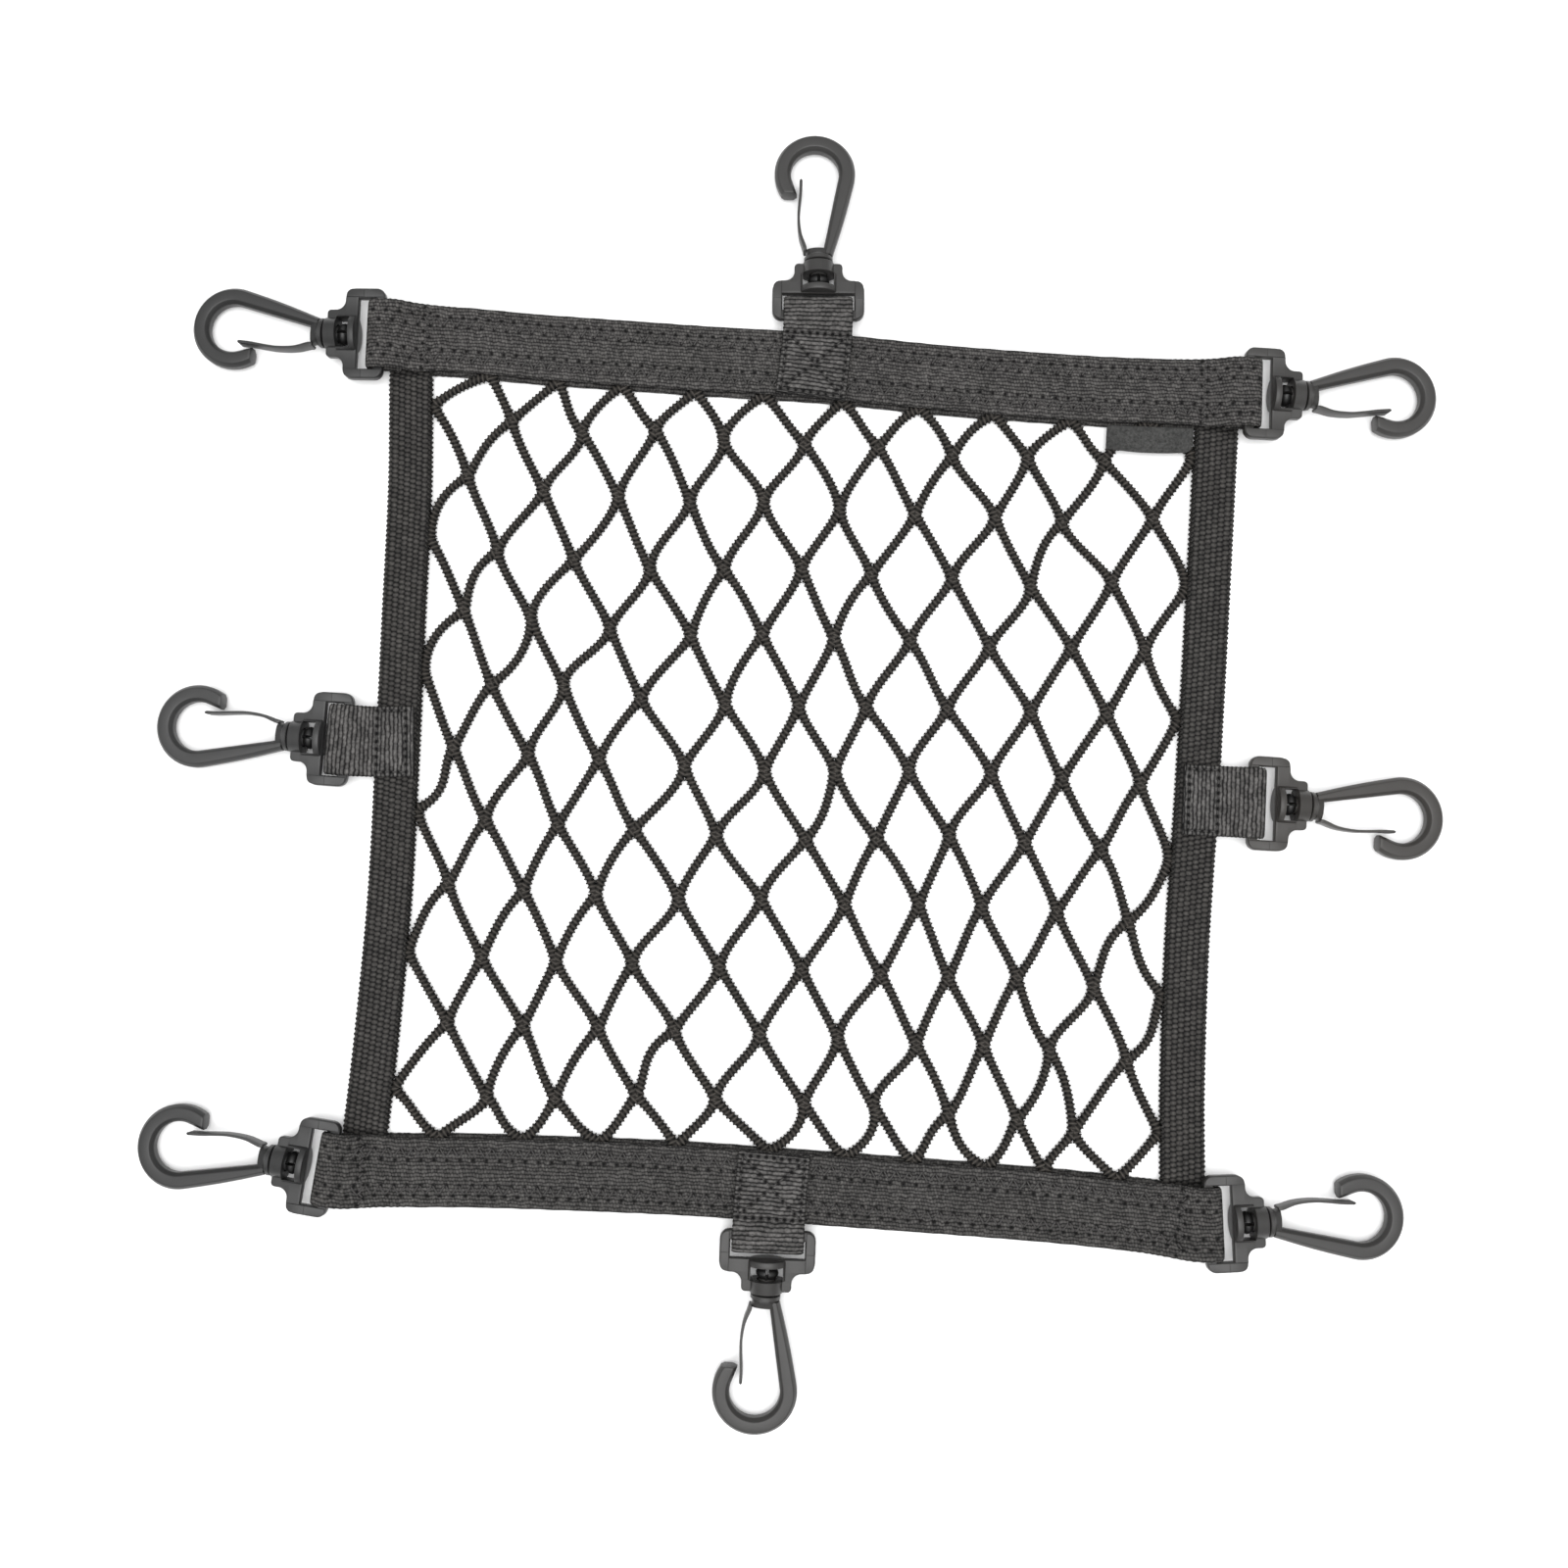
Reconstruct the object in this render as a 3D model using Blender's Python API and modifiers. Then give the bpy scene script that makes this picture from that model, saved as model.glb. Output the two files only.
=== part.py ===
"""Cargo net: a square of knotless netting edged with webbing, with eight swivel snap hooks.

The net lies flat, face up. +X runs along the top and bottom bands, +Y towards the top band and
+Z up. The origin is on the surface that the net lies on, under the middle of its outline.
All sizes and places are in millimetres, and MM turns them into metres.
"""

import math

import bmesh
import bpy
from mathutils import Matrix, Vector

MM = 0.001
GAP = 0.3  # air left between pieces that touch
SHARP_ANGLE = 40.0  # edges that turn by more, in degrees, stay sharp

# The tables below are measured from the middle of the netting, and the origin is this far from it.
ORIGIN_X, ORIGIN_Y = 4.9, 6.2

# Netting: braided cord, its crossings in half columns (0 to 20) and rows (0 to 12).
CORD_WIDTH = 3.2
CORD_THICKNESS = 2.9
CROSSING_SWELL = 0.5
SWELL_REACH = 3.5
HALF_COLUMNS, ROWS = 20, 12
NARROWEST_CORNER = 0.4
CELL_SHARES = (0.12, 0.3, 0.5, 0.7, 0.88)
BORDER_INSET = 2.0
CORNER_CUT = 1.2

# The flat edge of the netting, which is sewn between the two layers of each band.
HEM_BOTTOM, HEM_THICKNESS = 1.6, 1.1
HEM_WIDTH, HEM_CORNER = 9.5, 4.0
PINCH_START, PINCH_END = 2.0, 0.4

# Webbing: wide bands at top and bottom, narrower ones at the sides, and four tabs.
LAYER = 1.3
SLIT = HEM_THICKNESS + 2 * GAP
BAND_WIDTH, SIDE_WIDTH, TAB_WIDTH = 25.4, 15.7, 25.2
BAND_TOP = 2 * LAYER + SLIT
TAB_LAYER = 1.2
BAND_FOLD = -14.7
LABEL_THICKNESS = 0.8

# Snap hook frames: a slotted plate with a barrel, its own +Y running out along the swivel.
FRAME_WIDTH = 33.6
FRAME_HALF_HEIGHT = 1.5
SLOT_WIDTH, SLOT_TOP, SLOT_END = 26.3, -11.9, -18.3
FRAME_END = -21.7
SHOULDER = -7.0
EAR_HALF_WIDTH, EAR_TOP = 8.8, -0.5
BARREL_HALF_WIDTH, BARREL_HALF_HEIGHT = 6.2, 5.5
COLLAR_HALF_WIDTH, COLLAR_HALF_HEIGHT = 5.5, 5.1
COLLAR_LENGTH, BARREL_END = 4.6, -11.7
BORE_RADIUS = 3.4
WINDOW_HALF_WIDTH, WINDOW_TOP, WINDOW_END = 5.5, -4.6, -9.5
BARREL_HEIGHT = 6.2  # the swivel axis over the surface, at the middle of the barrel
SWIVEL_DROP = 3.3  # degrees that the axis falls towards the hook

# Snap hooks, in the same frame: stem, neck, limb, bow, tip and a springing gate.
BOW_RADIUS, BOW_WIDTH = 14.85, 6.0
BOW_X, BOW_Y = 1.1, 34.5
HOOK_HALF, CHAMFER, CHAMFER_DEPTH = 3.0, 1.2, 1.6
NECK_TOP, NECK_HALF_WIDTH = 4.8, 5.0
FLANGE_RADIUS, FLANGE_START, FLANGE_END = 5.3, 0.4, 2.0
STEM_RADIUS = 3.0
HEAD_RADIUS, HEAD_TOP, HEAD_END = 4.5, -5.1, -9.1
HEAD_SLIT = 1.0
TIP_DROP, TIP_INNER = 8.0, 6.7
GATE_THICKNESS, GATE_HALF_HEIGHT = 1.0, 2.6

# Where each snap hook's collar is, the way it faces in degrees, the side its gate is on
# (1 is the right, looking out along it) and how far the hook leans in its bore, in degrees
# towards the gate.
HOOKS = (
    # name, x, y, facing, gate, lean
    ("top_left", -177.6, 153.4, 181.9, -1, -4.0),
    ("top", 0.3, 191.3, 93.2, -1, 0.7),
    ("top_right", 179.6, 153.2, 1.3, 1, -3.8),
    ("left", -177.4, 5.2, 179.6, 1, 0.5),
    ("right", 187.4, 3.7, 0.4, 1, 2.0),
    ("bottom_left", -170.4, -144.4, 174.7, 1, -3.2),
    ("bottom", 5.2, -178.8, 271.5, 1, 2.4),
    ("bottom_right", 178.6, -143.3, 5.2, -1, -0.9),
)

# Middle lines of the webbing bands: they bow a little in the plane of the net.
BAND_LINES = (
    # x, top, bottom
    (-130.0, 154.6, -145.8),
    (-100.0, 153.9, -144.2),
    (-50.0, 153.4, -142.5),
    (0.0, 153.5, -142.1),
    (50.0, 151.9, -142.6),
    (100.0, 151.3, -143.0),
    (135.0, 152.2, -144.4),
)
SIDE_LINES = (
    # y, left, right
    (165.0, -147.6, 150.0),
    (141.0, -146.4, 149.8),
    (100.0, -143.5, 149.6),
    (50.0, -141.8, 149.3),
    (0.0, -140.0, 148.7),
    (-50.0, -138.6, 147.7),
    (-100.0, -139.2, 148.4),
    (-132.0, -140.3, 149.9),
    (-155.0, -141.0, 150.5),
)

# The crossings of the netting, row by row from the top band down: the odd half columns in the even
# rows and the even ones in the odd rows. The first and last are where the cords run into a band.
# The runs say how far each cord would shift sideways over a whole row if it kept the heading that
# it has there: the cord down to the right, the one that comes in from the right and the one that
# leaves to the left.
NET = (
    # x, y, run to the right, run in to the left, run on to the left
    (
        (-117.2, 143.2, 9, 0, -34), (-92.4, 142.7, 12, 0, -16), (-68.9, 142.5, 16, 0, -21),
        (-41.9, 142.3, 14, 0, -13), (-16.3, 142.4, 19, 0, -22), (12.2, 142.0, 20, 0, -14),
        (40.7, 141.1, 22, 0, -26), (68.4, 140.6, 13, 0, -28), (96.1, 140.2, 18, 0, -19),
        (124.5, 140.8, 28, 0, -23),
    ),
    (
        (-137.5, 130.4, 21, -12, 0), (-108.3, 126.8, 8, -15, -28), (-82.5, 124.4, 19, -6, 4),
        (-55.4, 126.9, 20, -4, -8), (-30.5, 125.9, 5, -6, 6), (-0.6, 125.3, 20, -7, -4),
        (26.4, 126.0, 19, -15, -14), (53.8, 124.1, 9, -10, -18), (81.4, 125.5, 12, -7, -5),
        (109.4, 125.8, 21, -6, -5), (141.6, 129.0, 4, 0, -10),
    ),
    (
        (-122.8, 105.3, 10, -11, -34), (-94.8, 101.3, 14, -4, -12), (-67.2, 100.9, 14, -3, -7),
        (-41.0, 100.8, 13, -3, -8), (-14.2, 103.2, 6, -8, -3), (13.9, 101.4, 6, -4, -10),
        (41.5, 101.4, 17, -8, -12), (70.8, 102.6, 11, -11, -7), (95.2, 101.9, 8, -16, -24),
        (128.3, 105.5, 14, -9, -14),
    ),
    (
        (-134.7, 81.0, 19, -1, 0), (-109.9, 78.1, 8, -8, -31), (-81.9, 76.7, 12, -20, -21),
        (-53.8, 74.9, 16, 1, -4), (-26.8, 76.6, 22, -4, -17), (1.3, 79.2, 14, -10, -6),
        (26.8, 78.3, 10, -15, -21), (56.4, 78.8, 14, -4, -11), (85.0, 77.7, 16, -6, -1),
        (114.5, 81.1, 14, -11, -10), (141.3, 80.0, 0, 0, -14),
    ),
    (
        (-120.3, 55.4, 14, -5, -34), (-95.5, 53.4, 12, 3, -2), (-66.9, 52.7, 12, -10, -1),
        (-37.2, 51.4, 13, -5, -15), (-11.3, 53.8, 14, -11, -17), (14.7, 54.1, 17, -6, -8),
        (42.4, 54.8, 20, -7, -12), (71.3, 54.5, 14, -11, -11), (101.1, 56.1, 15, -13, -15),
        (127.8, 56.7, 9, -8, -17),
    ),
    (
        (-133.0, 32.0, 15, -1, 0), (-108.3, 29.2, 14, -30, -18), (-82.0, 30.2, 13, 4, -2),
        (-53.7, 27.4, 14, -8, -17), (-23.1, 27.2, 16, -2, -7), (3.5, 28.2, 10, -10, -9),
        (27.9, 29.5, 20, -7, -9), (57.3, 31.0, 18, -10, -10), (87.5, 31.9, 14, -13, -10),
        (115.1, 32.9, 14, -15, -16), (140.9, 32.5, 19, 0, -11),
    ),
    (
        (-120.2, 5.2, 16, -13, -14), (-92.8, 4.2, 17, 0, -15), (-67.3, 4.4, 18, -7, -13),
        (-36.4, 4.3, 11, -12, -2), (-7.4, 4.7, 10, -11, -1), (18.0, 6.0, 12, -9, -5),
        (44.9, 7.4, 13, -1, -10), (74.5, 8.6, 13, -8, -9), (100.1, 8.1, 14, -14, -13),
        (128.4, 8.2, 10, -14, -19),
    ),
    (
        (-131.4, -17.8, 9, -38, 0), (-106.5, -20.1, 19, -3, -18), (-80.4, -19.9, 16, -14, -15),
        (-52.8, -19.9, 20, -20, -20), (-23.1, -20.1, 10, -7, -13), (9.0, -19.7, 17, -22, -15),
        (34.7, -17.7, 24, -8, -15), (60.7, -15.0, 16, -3, -9), (87.9, -15.7, 15, -13, -11),
        (115.4, -16.4, 19, -15, -18), (140.2, -19.0, 5, 0, -11),
    ),
    (
        (-118.1, -43.5, 10, -14, -26), (-90.9, -44.5, 16, -7, -23), (-64.8, -44.2, 10, -6, -20),
        (-35.2, -43.7, 14, -6, -4), (-5.4, -42.2, 16, -3, -10), (24.5, -42.0, 16, -9, -9),
        (51.2, -40.6, 14, -8, -14), (73.7, -39.5, 11, -11, -15), (100.8, -39.5, 11, -16, -15),
        (126.5, -41.4, 10, -27, -29),
    ),
    (
        (-130.7, -68.5, 14, -11, 0), (-104.1, -69.2, 15, -11, -10), (-77.4, -68.9, 12, -8, -11),
        (-50.0, -68.2, 12, -2, -15), (-18.8, -67.5, 16, -3, -8), (10.6, -66.0, 14, -14, -12),
        (39.0, -66.2, 18, -14, -13), (63.2, -65.7, 14, -12, -14), (87.7, -64.1, 11, -19, -15),
        (115.1, -65.2, 14, -10, 0), (139.8, -66.7, 29, 0, -12),
    ),
    (
        (-114.5, -93.2, 16, -7, -23), (-87.5, -92.5, 16, -12, -19), (-60.6, -91.8, 13, -10, -22),
        (-33.3, -90.8, 10, -12, -37), (-2.9, -90.2, 15, -8, -6), (25.1, -89.8, 14, -1, -4),
        (53.1, -90.0, 17, -9, -4), (77.1, -88.8, 12, -11, -13), (100.6, -89.0, 22, -2, -2),
        (128.3, -90.7, 8, -35, -22),
    ),
    (
        (-131.7, -117.5, 23, -15, 0), (-98.5, -118.2, 18, -4, -1), (-74.1, -117.6, 19, -9, -9),
        (-45.3, -114.4, 18, -11, -13), (-17.1, -113.9, 16, -2, -3), (14.3, -113.6, 18, -8, 1),
        (39.8, -113.7, 18, 8, 2), (66.0, -114.1, 8, -17, -23), (90.4, -114.2, 11, -22, -10),
        (110.7, -117.0, 6, -19, -8), (141.0, -115.4, 15, 0, -13),
    ),
    (
        (-114.1, -133.9, 28, -9, 0), (-84.5, -132.6, 29, -19, 0), (-57.1, -131.6, 31, -18, 0),
        (-29.9, -131.2, 13, -13, 0), (2.8, -131.0, 18, -29, 0), (30.0, -131.3, 22, -27, 0),
        (54.4, -131.5, 22, -15, 0), (79.8, -131.7, 32, -23, 0), (101.3, -132.0, 13, 0, 0),
        (126.4, -133.0, 15, -18, 0),
    ),
)

# Tabs: the snap hook each carries, the middle of its sewn end, and where it folds in the slot.
TABS = (
    # name, end x, end y, fold
    ("top", 0.4, 141.7, -12.5),
    ("left", -133.6, 6.3, -12.5),
    ("right", 142.9, 3.3, -15.0),
    ("bottom", 5.1, -131.2, -13.2),
)

LABEL = {"left": 109.3, "right": 141.0, "low": 129.8, "corner": 3.0, "sag": 0.9}


# ---------------------------------------------------------------- the scene and its materials
def clear_scene():
    for old in list(bpy.data.objects):
        bpy.data.objects.remove(old, do_unlink=True)


def material(name, colour, roughness):
    made = bpy.data.materials.new(name)
    made.use_nodes = True
    shader = made.node_tree.nodes["Principled BSDF"]
    shader.inputs["Base Color"].default_value = (*colour, 1.0)
    shader.inputs["Roughness"].default_value = roughness
    shader.inputs["Metallic"].default_value = 0.0
    return made


def collection(name):
    made = bpy.data.collections.new(name)
    bpy.context.scene.collection.children.link(made)
    return made


def place(obj, parts, finish, parent, matrix=None):
    """Put obj in the parts, on its parent, at a matrix whose lengths are in millimetres.

    finish is its colour and its roughness.
    """
    parts.objects.link(obj)
    obj.data.materials.clear()
    obj.data.materials.append(material(obj.name, *finish))
    obj.data.polygons.foreach_set("use_smooth", [True] * len(obj.data.polygons))
    obj.data.set_sharp_from_angle(angle=math.radians(SHARP_ANGLE))
    obj.parent = parent
    if matrix is not None:
        spot = matrix.copy()
        spot.translation = matrix.translation * MM
        obj.matrix_local = spot


# ---------------------------------------------------------------- shapes
def evaluated(obj):
    """The object's mesh with its modifiers applied. The object itself goes."""
    bpy.context.view_layer.update()
    depsgraph = bpy.context.evaluated_depsgraph_get()
    mesh = bpy.data.meshes.new_from_object(obj.evaluated_get(depsgraph))
    bpy.data.objects.remove(obj, do_unlink=True)
    return mesh


def outline_mesh(name, outlines, half, chamfer=0.0):
    """A flat outline with its holes, in millimetres, made solid with a 2D curve."""
    curve = bpy.data.curves.new(name, "CURVE")
    curve.dimensions = "2D"
    curve.fill_mode = "BOTH"
    curve.extrude = (half - chamfer) * MM
    curve.bevel_depth = chamfer * MM
    curve.bevel_resolution = 0
    for points in outlines:
        spline = curve.splines.new("POLY")
        spline.points.add(len(points) - 1)
        for point, (x, y) in zip(spline.points, points):
            point.co = (x * MM, y * MM, 0.0, 1.0)
        spline.use_cyclic_u = True
    drawn = bpy.data.objects.new(name, curve)
    bpy.context.scene.collection.objects.link(drawn)
    mesh = evaluated(drawn)
    shape = bmesh.new()
    shape.from_mesh(mesh)
    bmesh.ops.remove_doubles(shape, verts=shape.verts, dist=0.00001)
    bmesh.ops.recalc_face_normals(shape, faces=shape.faces)
    shape.to_mesh(mesh)
    shape.free()
    mesh.name = name
    return mesh


def turned_mesh(name, profile, sides):
    """A profile of (radius, place) pairs, turned about the frame's own Y axis and closed."""
    ends = [(0.0, profile[0][1]), *profile, (0.0, profile[-1][1])]
    line = bpy.data.meshes.new(name)
    edges = [(k, k + 1) for k in range(len(ends) - 1)]
    line.from_pydata([(radius * MM, y * MM, 0.0) for radius, y in ends], edges, [])
    drawn = bpy.data.objects.new(name, line)
    bpy.context.scene.collection.objects.link(drawn)
    turn = drawn.modifiers.new("turn", "SCREW")
    turn.axis = "Y"
    turn.angle = 2 * math.pi
    turn.steps = turn.render_steps = sides
    turn.use_merge_vertices = True
    turn.merge_threshold = 0.00001
    mesh = evaluated(drawn)
    shape = bmesh.new()
    shape.from_mesh(mesh)
    bmesh.ops.remove_doubles(shape, verts=shape.verts, dist=0.00001)
    bmesh.ops.recalc_face_normals(shape, faces=shape.faces)
    shape.to_mesh(mesh)
    shape.free()
    return mesh


def box_mesh(name, low, high):
    shape = bmesh.new()
    size = [(b - a) * MM for a, b in zip(low, high)]
    middle = [(a + b) / 2 * MM for a, b in zip(low, high)]
    matrix = Matrix.Translation(middle) @ Matrix.Diagonal((*size, 1.0))
    bmesh.ops.create_cube(shape, size=1.0, matrix=matrix)
    mesh = bpy.data.meshes.new(name)
    shape.to_mesh(mesh)
    shape.free()
    return mesh


def combine(mesh, steps):
    """Join or cut a mesh with others: steps are (operation, mesh) pairs. Gives the new mesh."""
    base = bpy.data.objects.new("base", mesh)
    bpy.context.scene.collection.objects.link(base)
    tools = []
    for operation, other in steps:
        tool = bpy.data.objects.new("tool", other)
        bpy.context.scene.collection.objects.link(tool)
        tools.append(tool)
        step = base.modifiers.new(operation, "BOOLEAN")
        step.operation = operation
        step.object = tool
    made = evaluated(base)
    for tool in tools:
        bpy.data.objects.remove(tool, do_unlink=True)
    return made


def arc(x, y, radius, start, end, steps):
    """Points on an arc, its angles in degrees."""
    angles = [math.radians(start + (end - start) * k / steps) for k in range(steps + 1)]
    return [(x + radius * math.cos(a), y + radius * math.sin(a)) for a in angles]


def cut(shape, point, normal):
    """Add vertices where a plane through a point, in millimetres, crosses a shape."""
    bmesh.ops.bisect_plane(
        shape,
        geom=shape.verts[:] + shape.edges[:] + shape.faces[:],
        dist=0.00002,
        plane_co=[value * MM for value in point],
        plane_no=normal,
    )


def through(points, at, first=None, last=None):
    """A smooth height and slope at a place between (place, height) points in rising order.

    first and last are the slopes at the two ends, where they are known.
    """
    slopes = []
    for k in range(len(points)):
        before, after = points[max(k - 1, 0)], points[min(k + 1, len(points) - 1)]
        slopes.append((after[1] - before[1]) / (after[0] - before[0]))
    if first is not None:
        slopes[0] = first
    if last is not None:
        slopes[-1] = last
    if at <= points[0][0]:
        return points[0][1] + slopes[0] * (at - points[0][0]), slopes[0]
    if at >= points[-1][0]:
        return points[-1][1] + slopes[-1] * (at - points[-1][0]), slopes[-1]
    k = max(n for n in range(len(points) - 1) if points[n][0] <= at)
    (x0, y0), (x1, y1) = points[k], points[k + 1]
    span, t = x1 - x0, (at - x0) / (x1 - x0)
    height = (
        y0 * (1 + 2 * t) * (1 - t) ** 2
        + y1 * t * t * (3 - 2 * t)
        + span * (slopes[k] * t * (1 - t) ** 2 - slopes[k + 1] * t * t * (1 - t))
    )
    slope = (
        6 * t * (1 - t) * (y1 - y0) / span
        + slopes[k] * (1 - t) * (1 - 3 * t)
        + slopes[k + 1] * t * (3 * t - 2)
    )
    return height, slope


def sheet_mesh(name, path, widths, place, closed=False):
    """The middle surface of a strap: a grid bent along a path, for Solidify to thicken.

    place turns a point of the path, and a distance across the strap, into (x, y, z). A closed
    path is a belt, whose two ends are welded.
    """
    path = [*path, path[0]] if closed else path
    shape = bmesh.new()
    rows, columns = len(path) - 1, len(widths) - 1
    grid = bmesh.ops.create_grid(shape, x_segments=rows, y_segments=columns, size=1.0)
    for vertex in grid["verts"]:
        k = round((vertex.co.x + 1) / 2 * rows)
        n = round((vertex.co.y + 1) / 2 * columns)
        vertex.co = [value * MM for value in place(path[k], widths[n])]
    bmesh.ops.remove_doubles(shape, verts=shape.verts, dist=0.00001)
    mesh = bpy.data.meshes.new(name)
    shape.to_mesh(mesh)
    shape.free()
    return mesh


def thicken(obj, layer):
    solidify = obj.modifiers.new("webbing", "SOLIDIFY")
    solidify.thickness = layer * MM
    solidify.offset = 0.0
    solidify.use_even_offset = True
    return obj


# ---------------------------------------------------------------- where the snap hooks are
def hook_row(name):
    return next(row for row in HOOKS if row[0] == name)


def axis_height(y):
    """Height of the swivel axis over the surface, y millimetres out from the collar."""
    middle = (WINDOW_TOP + WINDOW_END) / 2
    return BARREL_HEIGHT - (y - middle) * math.tan(math.radians(SWIVEL_DROP))


def frame_matrix(row):
    name, x, y, facing, gate, lean = row
    turn = Matrix.Rotation(math.radians(facing - 90), 4, "Z")
    drop = Matrix.Rotation(math.radians(-SWIVEL_DROP), 4, "X")
    return Matrix.Translation((x, y, axis_height(0.0))) @ turn @ drop


def hook_matrix(row):
    """A hook leans about the middle of its bore, which is wider than its stem."""
    name, x, y, facing, gate, lean = row
    bore = Matrix.Translation((0.0, -COLLAR_LENGTH / 2, 0.0))
    swing = Matrix.Rotation(math.radians(-gate * lean), 4, "Z")
    return frame_matrix(row) @ bore @ swing @ bore.inverted()


def beside_collar(row, out):
    """The plan place that is out millimetres along the swivel axis from a collar."""
    facing = math.radians(row[3])
    return row[1] + out * math.cos(facing), row[2] + out * math.sin(facing)


BAR_MIDDLE = (SLOT_END + FRAME_END) / 2
BAR_HEIGHT = axis_height(BAR_MIDDLE)


# ---------------------------------------------------------------- snap hooks
def frame_mesh():
    """The moulded frame: ears, shoulders, side rails and bar, with the barrel across them."""
    half = FRAME_WIDTH / 2
    ear = EAR_HALF_WIDTH
    side = (
        [(0.0, EAR_TOP)]
        + arc(ear - 1.4, EAR_TOP - 1.4, 1.4, 90, 0, 2)
        + arc(ear + 3.4, SHOULDER + 3.4, 3.4, 180, 270, 3)
        + arc(half - 3.8, SHOULDER - 3.8, 3.8, 90, 0, 3)
        + arc(half - 3.2, FRAME_END + 3.2, 3.2, 0, -90, 3)
    )
    outline = side[1:] + [(-x, y) for x, y in side[1:]][::-1]
    slot = [
        (-SLOT_WIDTH / 2, SLOT_TOP),
        (SLOT_WIDTH / 2, SLOT_TOP),
        (SLOT_WIDTH / 2, SLOT_END),
        (-SLOT_WIDTH / 2, SLOT_END),
    ]
    plate = outline_mesh("plate", [outline, slot], FRAME_HALF_HEIGHT)
    barrel = turned_mesh("barrel", [(1.0, BARREL_END), (1.0, -COLLAR_LENGTH + 0.2)], 14)
    barrel.transform(Matrix.Diagonal((BARREL_HALF_WIDTH, 1.0, BARREL_HALF_HEIGHT, 1.0)))
    collar = turned_mesh("collar", [(1.0, -COLLAR_LENGTH - 0.2), (1.0, 0.0)], 14)
    collar.transform(Matrix.Diagonal((COLLAR_HALF_WIDTH, 1.0, COLLAR_HALF_HEIGHT, 1.0)))
    bore = turned_mesh("bore", [(BORE_RADIUS, WINDOW_END + 1.0), (BORE_RADIUS, 2.0)], 10)
    window = box_mesh(
        "window",
        (-WINDOW_HALF_WIDTH, WINDOW_END, -10.0),
        (WINDOW_HALF_WIDTH, WINDOW_TOP, 10.0),
    )
    steps = [("UNION", barrel), ("UNION", collar), ("DIFFERENCE", bore), ("DIFFERENCE", window)]
    return combine(plate, steps)


def hook_mesh(gate):
    """The hook: a turned stem and flange, and a limb bent round into a bow and tip."""
    inner = BOW_RADIUS - BOW_WIDTH + CHAMFER
    outer = BOW_RADIUS - CHAMFER
    tip_y = BOW_Y - TIP_DROP + CHAMFER
    tip_angle = math.degrees(math.asin((tip_y - BOW_Y) / outer))
    bow = (
        [(-NECK_HALF_WIDTH + 0.7, FLANGE_END), (-NECK_HALF_WIDTH + 0.5, NECK_TOP - 1.0)]
        + arc(BOW_X, BOW_Y, outer, 194, tip_angle, 12)
        + [(BOW_X + TIP_INNER + CHAMFER, tip_y)]
        + arc(BOW_X, BOW_Y, inner, -16, 194, 9)
        + [(-2.6 - CHAMFER / 2, NECK_TOP - CHAMFER)]
        + [(NECK_HALF_WIDTH - CHAMFER, NECK_TOP - CHAMFER)]
        + [(NECK_HALF_WIDTH - 1.6, FLANGE_END)]
    )
    body = outline_mesh("bow", [bow], HOOK_HALF / CHAMFER_DEPTH * CHAMFER, CHAMFER)
    body.transform(Matrix.Diagonal((1.0, 1.0, CHAMFER_DEPTH / CHAMFER, 1.0)))
    stem = turned_mesh(
        "stem",
        [
            (HEAD_RADIUS - 1.5, HEAD_END),
            (HEAD_RADIUS, HEAD_END + 1.6),
            (HEAD_RADIUS, HEAD_TOP - 0.9),
            (STEM_RADIUS, HEAD_TOP),
            (STEM_RADIUS, FLANGE_START),
            (FLANGE_RADIUS, FLANGE_START + 0.01),
            (FLANGE_RADIUS, FLANGE_END - 0.3),
            (FLANGE_RADIUS - 1.2, NECK_TOP - 0.9),
        ],
        10,
    )
    slit = box_mesh(
        "slit", (-HEAD_SLIT / 2, HEAD_END - 1.0, -8.0), (HEAD_SLIT / 2, HEAD_TOP + 0.2, 8.0)
    )
    made = combine(body, [("UNION", stem), ("DIFFERENCE", slit)])
    if gate < 0:
        made.transform(Matrix.Diagonal((-1.0, 1.0, 1.0, 1.0)))
        made.flip_normals()
    return made


PLASTIC = ((0.14, 0.135, 0.13), 0.5)
GATE_PATH = ((5.0, 5.4), (6.6, 10.5), (7.2, 16.8), (6.9, 22.0), (6.4, 26.8), (6.2, 31.8))


def gate_mesh(gate):
    """The gate leaf, with its origin on the root that it springs about."""
    root_x, root_y = GATE_PATH[0]
    widths = (-GATE_HALF_HEIGHT, GATE_HALF_HEIGHT)
    return sheet_mesh(
        "gate", GATE_PATH, widths, lambda point, z: (gate * (point[0] - root_x), point[1] - root_y, z)
    )


def build_snap_hook(row, parts, whole):
    name, x, y, facing, gate, lean = row
    frame = bpy.data.objects.new(f"frame_{name}", frame_mesh())
    place(frame, parts, PLASTIC, whole, frame_matrix(row))
    hook = bpy.data.objects.new(f"hook_{name}", hook_mesh(gate))
    place(hook, parts, PLASTIC, whole, hook_matrix(row))
    leaf = thicken(bpy.data.objects.new(f"gate_{name}", gate_mesh(gate)), GATE_THICKNESS)
    root_x, root_y = GATE_PATH[0]
    place(leaf, parts, PLASTIC, hook, Matrix.Translation((gate * root_x, root_y, 0.0)))


# ---------------------------------------------------------------- webbing
def band_line(which):
    """Middle line of a wide band, as (x, y) points, and its slopes at the two bars."""
    column = 1 if which == "top" else 2
    left, right = hook_row(f"{which}_left"), hook_row(f"{which}_right")
    points = [beside_collar(left, BAR_MIDDLE)]
    points += [(line[0], line[column]) for line in BAND_LINES]
    points += [beside_collar(right, BAR_MIDDLE)]
    return points, math.tan(math.radians(left[3])), math.tan(math.radians(right[3]))


def band_middle(which, x):
    points, first, last = band_line(which)
    return through(points, x, first, last)


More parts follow.
